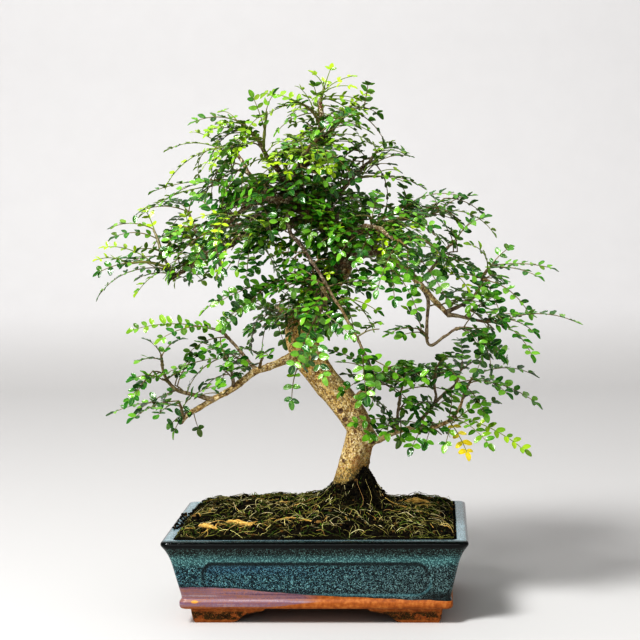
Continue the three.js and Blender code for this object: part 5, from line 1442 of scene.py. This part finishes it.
def leaflets(base, ahead, up, length, width, rng, young):
    """Many leaflets at once, each a closed thin lens of two by six faces above and below. Half the
    width is a power of sine along the leaflet with a blunt, faintly notched end; the halves fold up
    from the midrib, and the blade curls down along its length."""
    count = len(base)
    across = np.cross(ahead, up)
    u, v = np.meshgrid(np.linspace(0, 1, 7), np.linspace(-1, 1, 3), indexing="ij")
    half = 0.5 * np.sin(math.pi * (0.04 + 0.93 * u) ** 0.92) ** 0.62
    notch = 0.05 * np.exp(-((v / 0.45) ** 2)) * u**6
    fold = rng.uniform(0.05, 0.42, (count, 1, 1))
    curl = rng.uniform(-0.05, 0.5, (count, 1, 1))
    twist = rng.normal(0, 0.16, (count, 1, 1))
    along = (u - notch)[None] * length[:, None, None]
    sideways = (half * v)[None] * width[:, None, None]
    wave = 0.05 * width[:, None, None] * np.sin(9 * u + rng.uniform(0, 6, (count, 1, 1))) * np.abs(v)
    rise = (fold * np.abs(sideways) - curl * 0.5 * length[:, None, None] * u**2
            + twist * u * sideways + wave)

    def placed(lift):
        """The grid's corners in space, raised by the lift."""
        flat = [part.reshape(count, -1, 1) for part in np.broadcast_arrays(along, sideways, rise + lift)]
        return (base[:, None] + flat[0] * ahead[:, None] + flat[1] * across[:, None] + flat[2] * up[:, None])

    top = placed(0)
    inner = (np.abs(v) < 0.9) & (u > 0.01) & (u < 0.99)
    thickness = np.where(inner, -0.3 * (1 - 0.5 * np.abs(v)), 0)
    below = placed(thickness[None])[:, inner.ravel()]
    number = np.arange(21).reshape(7, 3)
    under = number.copy()
    under[inner] = 21 + np.arange(inner.sum())
    size = 21 + int(inner.sum())
    quads = np.stack([number[:-1, :-1], number[1:, :-1], number[1:, 1:], number[:-1, 1:]], -1).reshape(-1, 4)
    back = np.stack([under[:-1, :-1], under[:-1, 1:], under[1:, 1:], under[1:, :-1]], -1).reshape(-1, 4)
    faces = (np.concatenate([quads, back]) + size * np.arange(count)[:, None, None]).reshape(-1, 4)
    flat_u, flat_v = u.ravel(), v.ravel()
    inner_flat = inner.ravel()
    uv = np.stack([np.append(flat_v, flat_v[inner_flat]), np.append(flat_u, flat_u[inner_flat])], -1)
    is_under = np.concatenate([np.zeros(21), np.ones(size - 21)])
    return Surface(np.concatenate([top, below], axis=1), [faces], uv=np.tile(uv, (count, 1)),
                   under=np.tile(is_under, count), tone=np.repeat(rng.uniform(0, 1, count), size),
                   young=np.repeat(young, size), stem=np.zeros(count * size))


def stalks(paths, radii, sides, young):
    """Tubes with the leaf marks, for shoots and the stalks of leaves."""
    tube = tubes(paths, radii, sides)
    total = len(tube.corners)
    each = total // len(paths)
    tube.marks = {"uv": np.zeros((total, 2)), "under": np.zeros(total), "tone": np.full(total, 0.5),
                  "young": np.repeat(young, each), "stem": np.ones(total)}
    return tube


def pinnate_leaf(base, heading, normal, length, arch, young, rng, scale=1.0):
    """One leaf: its stalk, its pairs of leaflets leaning forwards and up, and the one at its end. Young
    leaflets are smaller and narrower."""
    t = np.linspace(0, 1, 9)
    rib, _, _ = leaf_frame(base, heading, normal, length, arch, t * 0.985)
    parts = [stalks(rib[None], np.linspace(0.5, 0.26, 9)[None], 4, np.array([young]))]
    pairs = max(2, round(0.74 * length / (LEAFLET_PITCH * scale)))
    at = np.linspace(0.22, 0.93, pairs)
    at = np.repeat(at, 2) + rng.normal(0, 0.012, 2 * pairs)
    sign = np.tile([1.0, -1.0], pairs)
    place, ahead, up = leaf_frame(base, heading, normal, length, arch, at)
    side = np.cross(ahead, up) * sign[:, None]
    lean = rng.normal(0.42, 0.13, 2 * pairs)[:, None]
    lift = rng.normal(0.22, 0.2, 2 * pairs)[:, None]
    way = side * np.cos(lean) + ahead * np.sin(lean)
    tilted = way * np.cos(lift) + up * np.sin(lift)
    facing = up * np.cos(lift) - way * np.sin(lift)
    size = (0.82 + 0.2 * np.sin(math.pi * np.clip(at, 0, 1) ** 1.3)) * rng.normal(1, 0.09, 2 * pairs)
    size *= 0.9 if length < 34 else 1
    end_place, end_ahead, end_up = leaf_frame(base, heading, normal, length, arch, np.array([0.975]))
    place = np.concatenate([place + 0.2 * side, end_place])
    tilted = np.concatenate([tilted, end_ahead])
    facing = np.concatenate([facing, end_up])
    lengths = scale * LEAFLET_LENGTH * (1 - 0.2 * young) * np.append(size, 1.02)
    widths = scale * LEAFLET_WIDTH * (1 - 0.38 * young) * np.append(size, 1.05)
    widths = widths * rng.normal(1, 0.06, 2 * pairs + 1)
    shades = np.clip(young + rng.normal(0, 0.1, 2 * pairs + 1), 0, 1)
    parts.append(leaflets(place, tilted, facing, lengths, widths, rng, shades))
    return parts


def leaf_material(name, deep, middle, bright, fresh, edge, olive):
    """A waxy leaf: a paler midrib and faint side veins, deep to bright green by leaf and by patch, a painted
    pale sheen on some leaflets, yellow-green where it is young, a paler underside, and a green to brown
    stalk."""
    material, start, place = new_material(name)
    uv = start.node("ShaderNodeUVMap", {"uv_map": "UVMap"})
    across, along, _ = uv.split()
    tone, young, under, stem = (start.mark(kind) for kind in ("tone", "young", "under", "stem"))
    mottle = place.noise(0.5, 3.0)
    shade = tone * 0.6 + mottle * 0.5
    green = shade.ramp((0.15, deep), (0.5, middle), (0.85, bright))
    green = young.step(0.15, 0.9).mix(green, fresh)
    midrib = 1 - abs(across).step(0.04, 0.15)
    veins = ((along + abs(across) * 0.35) * 52.0).maths("SINE")
    border = abs(across).step(0.86, 0.98)
    colour = (midrib * 0.45).mix(green, edge)
    colour = (border * 0.35).mix(colour, edge)
    # Some leaflets are painted paler, as a painted sheen.
    colour = (tone.step(0.8, 0.98) * 0.4).mix(colour, edge)
    colour = (under * 0.6).mix(colour, olive)
    bark = place.noise(0.6, 3.0).ramp((0.35, paint(84, 70, 40)), (0.65, paint(140, 118, 70)))
    stalk = young.step(0.1, 0.7).mix(bark, paint(126, 146, 52))
    colour = stem.mix(colour, stalk)
    rough = 0.14 + mottle * 0.14 + under * 0.3 + stem * 0.3
    relief = (veins * 0.25 * (1 - stem) - midrib * 0.8 + mottle * 0.5).bump(0.35, 0.00025)
    principled = {"Base Color": colour, "Roughness": rough, "Normal": relief, "Specular IOR Level": 1.0}
    shader = start.node("ShaderNodeBsdfPrincipled", {}, principled)
    glow = start.node("ShaderNodeBsdfTranslucent", {}, {"Color": edge})
    both = start.node("ShaderNodeMixShader", {}, {0: 0.11, 1: shader, 2: glow})
    start.node("ShaderNodeOutputMaterial", {}, {"Surface": both})
    return material


leaf_green = leaf_material("waxy_leaf_green", paint(2, 26, 4), paint(32, 108, 14), paint(130, 188, 54),
                           paint(184, 216, 34), paint(134, 184, 68), paint(84, 112, 28))


def node_corners(name):
    """The corners of a frame node in millimetres about the pot."""
    mesh = bpy.data.objects[name].data
    places = np.empty(3 * len(mesh.vertices), np.float32)
    mesh.vertices.foreach_get("co", places)
    return 1000 * places.reshape(-1, 3) - POT_MIDDLE


def accepted_place(index, row, points, leaf, corners):
    """The first try whose tip is a corner of the frame's node, or nothing if the leaf found no room."""
    for attempt in range(LEAF_TRIES):
        place = leaf_place(index, row, points, leaf, attempt)
        if np.linalg.norm(corners - frame_leaf_tip(*place), axis=-1).min() < TIP_REACH:
            return place
    return None


for index, (name, row) in enumerate(TWIGS.items()):
    rng = np.random.default_rng(100 + index)
    points = twig_curve(*row[:3])
    corners = node_corners("twig_" + name)
    t = np.linspace(0, 1, 14)
    course = smooth_curve(points, t)
    thick = np.interp(t * 2, [0, 1, 2], TWIG_RADII) * (1 + 0.14 * np.sin(24 * t)) * np.where(t > 0.97, 0.6, 1)
    fresh = YOUNG.get(name, 0.1)
    parts = [stalks(course[None], thick[None], 8, np.array([0.5 * fresh]))]
    for leaf in range(row[3]):
        place = accepted_place(index, row, points, leaf, corners)
        if place is None:
            continue
        young = float(np.clip(fresh * rng.uniform(0.2, 1.7), 0, 1))
        scale = 1.0 - 0.1 * smooth_step(210, 270, place[0][2])
        parts += pinnate_leaf(*place, young, rng, scale)
    make_piece("leaves_" + name, Surface.joined(parts), leaf_green, ["twig_" + name], sharp=80)


# Inner sprays
# Short side growths fill the crown between the shoots: each is a thin green stem that starts in the
# wood, with up to four leaves of smaller leaflets. They make the crown dense in front of the trunk,
# and are short, so that the crown keeps its outline and the gaps seen through it.
CAMERA_PLACE = np.array([101.38, -1546.76, 373.53])
SPRAY_PITCH = 13.0
SPRAY_HALF_DEPTH, SPRAY_TOP = 144, 448
LIMB_CLEARANCE = 7.5
LIME_SHARE, LIME_YOUNG = 0.09, 0.95
# Limbs that bear more or fewer sprays than the rest, and where along some limbs the sprays begin.
SPRAY_DENSITY = {
    "trunk": 1.6, "frontMiddle": 2.4, "frontLeft": 1.6, "frontRight": 1.0, "frontTop": 1.0, "leftLimb": 1.3,
    "hangingTwig": 0.5, "lowLeft": 0.25, "lowLeftRise": 0.5, "lowLeftSpur": 0.5, "lowLeftFork": 0.5,
    "lowRight": 0.1, "lowRightRise": 0.2, "lowRightTwig": 0.2, "archRight": 0.25, "archDrop": 0.5,
    "leftUpper": 1.0, "rightUpper": 1.2, "rearTop": 0.5, "leftRear": 0.8,
}
SPRAY_START = {"trunk": 0.5, "lowLeft": 0.3, "frontMiddle": 0.1}
# More sprays, which hide wood from the front: limb, the shares of it between which they grow, how many
# and their lean.
TUFTS = [
    ("trunk", 0.45, 0.58, 14, (0, -2.0, 0.1)), ("trunk", 0.61, 0.74, 16, (-0.3, -1.7, 0.2)),
    ("trunk", 0.75, 0.90, 9, (0, -1.3, 0.4)), ("leftLimb", 0.03, 0.42, 9, (0, -1.6, 0.3)),
    ("leftUpper", 0.05, 0.6, 4, (0, -1.3, 0.3)), ("rightInner", 0.1, 0.6, 4, (0, -1.3, 0.3)),
    ("frontLeft", 0.1, 0.5, 4, (0, -1.0, 0.6)), ("frontRight", 0.05, 0.5, 6, (0, -1.3, 0.2)),
]
# Gaps that the photograph shows through the crown: middle and half sizes, across and up, in
# millimetres on the upright plane through the pot's middle, as seen from the camera.
GAPS = [
    (-115, 266, 50, 11), (-60, 288, 25, 10), (47, 269, 12, 10), (71, 241, 15, 10), (-56, 169, 27, 23),
    (84, 127, 38, 12), (177, 262, 21, 8), (156, 207, 25, 8),
]


def seen_from_camera(place):
    """Where the camera sees the place on the upright plane through the pot's middle."""
    share = CAMERA_PLACE[1] / (CAMERA_PLACE[1] - place[..., 1:2])
    return CAMERA_PLACE + (place - CAMERA_PLACE) * share


def in_a_gap(place):
    """Whether the camera sees the place through one of the gaps, on the plane through the middle."""
    seen = seen_from_camera(place)
    return any(((seen[0] - x) / half_x) ** 2 + ((seen[2] - z) / half_z) ** 2 < 1
               for x, z, half_x, half_z in GAPS)


# The two limbs that the camera sees whole, with nothing but their own twigs in front of them.
bare_limbs = np.concatenate([smooth_curve(WOOD["hangingTwig"][0], np.linspace(0.1, 1, 40)),
                             smooth_curve(WOOD["archRight"][0], np.linspace(0, 1, 40))])
bare_limbs_seen = seen_from_camera(bare_limbs)


def before_a_bare_limb(place):
    """Whether the place lies in front of one of the two limbs, as seen from the camera."""
    away = np.hypot(*(bare_limbs_seen - seen_from_camera(place))[:, [0, 2]].T)
    return bool(np.any((away < LIMB_CLEARANCE) & (place[1] < bare_limbs[:, 1] + 2)))


def spray(limb, t, rng, size, lean=(0, 0, 0)):
    """A stem that leaves its limb outwards and up, with leaves set round its outer half."""
    points = WOOD[limb][0]
    start, tangent = smooth_curve(points, np.array([t]))[0], tangent_at(points, t)
    outward = np.array([start[0] - 5, start[1], 0]) / 60
    way = rng.normal(0, 1, 3)
    way -= np.dot(way, tangent) * tangent
    way = unit(unit(way) + 0.35 * tangent + 0.5 * outward + [0, 0, 0.35] + np.array(lean))
    length = size * rng.uniform(7, 20)
    end = start + way * length
    path = smooth_curve([start, start + 0.5 * length * way + [0, 0, 0.1 * length], end], np.linspace(0, 1, 6))
    young = float(np.clip(rng.normal(0.12, 0.14) + 0.25 * (end[2] > 380), 0, 1))
    if rng.random() < LIME_SHARE:
        young = LIME_YOUNG
    parts = [stalks(path[None], np.linspace(0.75, 0.45, 6)[None], 5, np.array([young]))]
    count = rng.integers(2, 5)
    for leaf in range(count):
        base = smooth_curve(path[[0, 2, 5]], np.array([0.45 + 0.53 * leaf / (count - 1)]))[0]
        turn = leaf * GOLDEN_ANGLE + rng.uniform(0, 2 * math.pi)
        level = unit(np.array([-way[1], way[0], 0.001]))
        heading = way * 0.55 + level * math.cos(turn) + np.cross(level, way) * math.sin(turn)
        heading = unit(heading * [1, 1, 0.55] + [0, 0, rng.uniform(-0.15, 0.3)])
        leaf_length = size * rng.uniform(24, 42)
        tip = base + heading * leaf_length
        middle = (base + tip) / 2
        if abs(tip[1]) > SPRAY_HALF_DEPTH or tip[2] > SPRAY_TOP or in_a_gap(tip) or in_a_gap(middle):
            continue
        if before_a_bare_limb(tip) or before_a_bare_limb(middle) or before_a_bare_limb((middle + tip) / 2):
            continue
        facing = rng.uniform(-0.2, 0.4) if base[1] < 30 else rng.uniform(-0.5, 0.2)
        facing *= 1.0 - 0.7 * smooth_step(260, 320, base[2])
        normal = np.array([0, -facing, 1]) + 0.25 * outward
        normal = unit(normal - np.dot(normal, heading) * heading)
        normal = turned(normal, heading, rng.normal(0, 0.3))
        parts += pinnate_leaf(base, heading, normal, leaf_length, rng.uniform(0.5, 1.1), young, rng, 0.9)
    return parts


for number, name in enumerate(WOOD):
    rng = np.random.default_rng(400 + number)
    limb_length = np.linalg.norm(np.diff(np.array(WOOD[name][0], float), axis=0), axis=-1).sum()
    first = SPRAY_START.get(name, 0.22)
    count = max(2, round(SPRAY_DENSITY.get(name, 1.0) * (1 - first) * limb_length / SPRAY_PITCH))
    size = 0.8 if name == "lowLeft" else 1.0
    parts = []
    for t in first + (1 - first) * (np.arange(count) + rng.uniform(0, 0.9, count)) / count:
        parts += spray(name, min(t, 0.99), rng, size)
    for limb, low, high, tuft, lean in TUFTS:
        for t in np.linspace(low, high, tuft if limb == name else 0):
            parts += spray(name, t, rng, 1.0, lean)
    make_piece("sprays_" + name, Surface.joined(parts), leaf_green, sharp=80)


# Yellow leaf
# One leaf at the low right branch has turned yellow and hangs with its face to the front.
YELLOW_LEAF = ("lowRight", 0.72, (125, -36, 135, 0.9))
yellow_rng = np.random.default_rng(77)
limb, at, aim = YELLOW_LEAF
joint = smooth_curve(WOOD[limb][0], np.array([at]))[0]
stub = [joint, joint + [0, 0, -0.25], joint + [0, 0, -0.5]]
yellow_place = accepted_place(99, (limb, at, aim[:3], 1, 0, [aim]), stub, 0, node_corners("yellow_leaf"))
leaf_yellow = leaf_material("yellowed_leaf", paint(206, 176, 16), paint(236, 212, 20), paint(248, 232, 60),
                            paint(244, 226, 50), paint(250, 236, 120), paint(230, 206, 50))
make_piece("leaf_turned_yellow", Surface.joined(pinnate_leaf(*yellow_place, 0.5, yellow_rng)), leaf_yellow,
           ["yellow_leaf"], sharp=80)


# Camera, floor and light
# The camera stands where the lines of the pot's rim and feet put it, level with the crown. A plain
# floor and wall are one pale sweep. The soft key light comes from the upper left, with weak ones from
# the right and the front, and one for the wall.
TURN, TIP_DOWN, ROLL = 0.0640, 0.0837, -0.0149
FOCUS_PIXELS, PICTURE, SENSOR = 1835.7, 640, 36.0

level = Vector((-math.sin(TURN), math.cos(TURN), 0))
toward = level * math.cos(TIP_DOWN) - Vector((0, 0, math.sin(TIP_DOWN)))
right = Vector((math.cos(TURN), math.sin(TURN), 0))
above = right.cross(toward)
rolled_right = right * math.cos(ROLL) + above * math.sin(ROLL)
rolled_above = above * math.cos(ROLL) - right * math.sin(ROLL)
lens = bpy.data.cameras.new("photo_camera")
lens.sensor_width = SENSOR
lens.lens = FOCUS_PIXELS / PICTURE * SENSOR
lens.clip_end = 20
camera = bpy.data.objects.new("photo_camera", lens)
turn = Matrix((rolled_right, rolled_above, -toward)).transposed().to_4x4()
camera.matrix_world = Matrix.Translation(Vector((CAMERA_PLACE + POT_MIDDLE) / 1000)) @ turn
bpy.context.scene.collection.objects.link(camera)
bpy.context.scene.camera = camera


def backdrop_mesh():
    """A floor that turns up into a wall behind by a quarter circle."""
    bend = np.linspace(0, math.pi / 2, 24)
    back, radius = 1.5, 0.6
    y = np.concatenate([[-4.0], back + radius * np.sin(bend), [back + radius]])
    z = np.concatenate([[0.0], radius * (1 - np.cos(bend)), [4.0]])
    x = np.array([-4.5, 4.5])
    corners = np.stack(np.broadcast_arrays(x[None, :], y[:, None], z[:, None]), axis=-1).reshape(-1, 3)
    k = 2 * np.arange(len(y) - 1)
    quads = np.stack([k, k + 1, k + 3, k + 2], axis=-1)
    mesh = bpy.data.meshes.new("backdrop")
    mesh.from_pydata(corners.tolist(), [], quads.tolist())
    mesh.shade_smooth()
    return mesh


def backdrop_material():
    """Pale matt paper, a little darker on the floor than on the wall."""
    material, start, place = new_material("pale_paper")
    tooth = place.noise(0.02, 2.0)
    height = place.split()[2]
    colour = tooth.ramp((0.0, paint(215, 214, 214)), (1.0, paint(219, 218, 218)))
    colour = height.step(0, 120).mix(paint(200, 199, 198), colour)
    close_material(start, base_color=colour, roughness=0.9)
    return material


backdrop = bpy.data.objects.new("backdrop", backdrop_mesh())
backdrop.data.materials.append(backdrop_material())
bpy.context.scene.collection.objects.link(backdrop)


def soft_light(name, place, aim, size, power):
    """A square area light that looks at a point."""
    light = bpy.data.lights.new(name, "AREA")
    light.size = size
    light.energy = power
    holder = bpy.data.objects.new(name, light)
    holder.location = place
    holder.rotation_euler = (Vector(aim) - Vector(place)).to_track_quat("-Z", "Y").to_euler()
    bpy.context.scene.collection.objects.link(holder)


soft_light("key", (-1.1, -1.5, 2.1), (0, 0, 0.25), 0.7, 78)
soft_light("fill", (1.9, -1.5, 1.0), (0, 0, 0.2), 1.6, 5)
soft_light("front", (-0.3, -2.3, 0.7), (0, 0, 0.3), 1.0, 6)
soft_light("wall", (-0.3, 0.9, 2.2), (-0.2, 2.1, 0.4), 1.8, 7)
world = bpy.data.worlds.new("pale_room")
world.use_nodes = True
world.node_tree.nodes["Background"].inputs["Color"].default_value = (1.0, 0.985, 0.975, 1)
world.node_tree.nodes["Background"].inputs["Strength"].default_value = 0.27
bpy.context.scene.world = world
bpy.context.scene.view_settings.view_transform = "Standard"
bpy.context.scene.view_settings.look = "High Contrast"
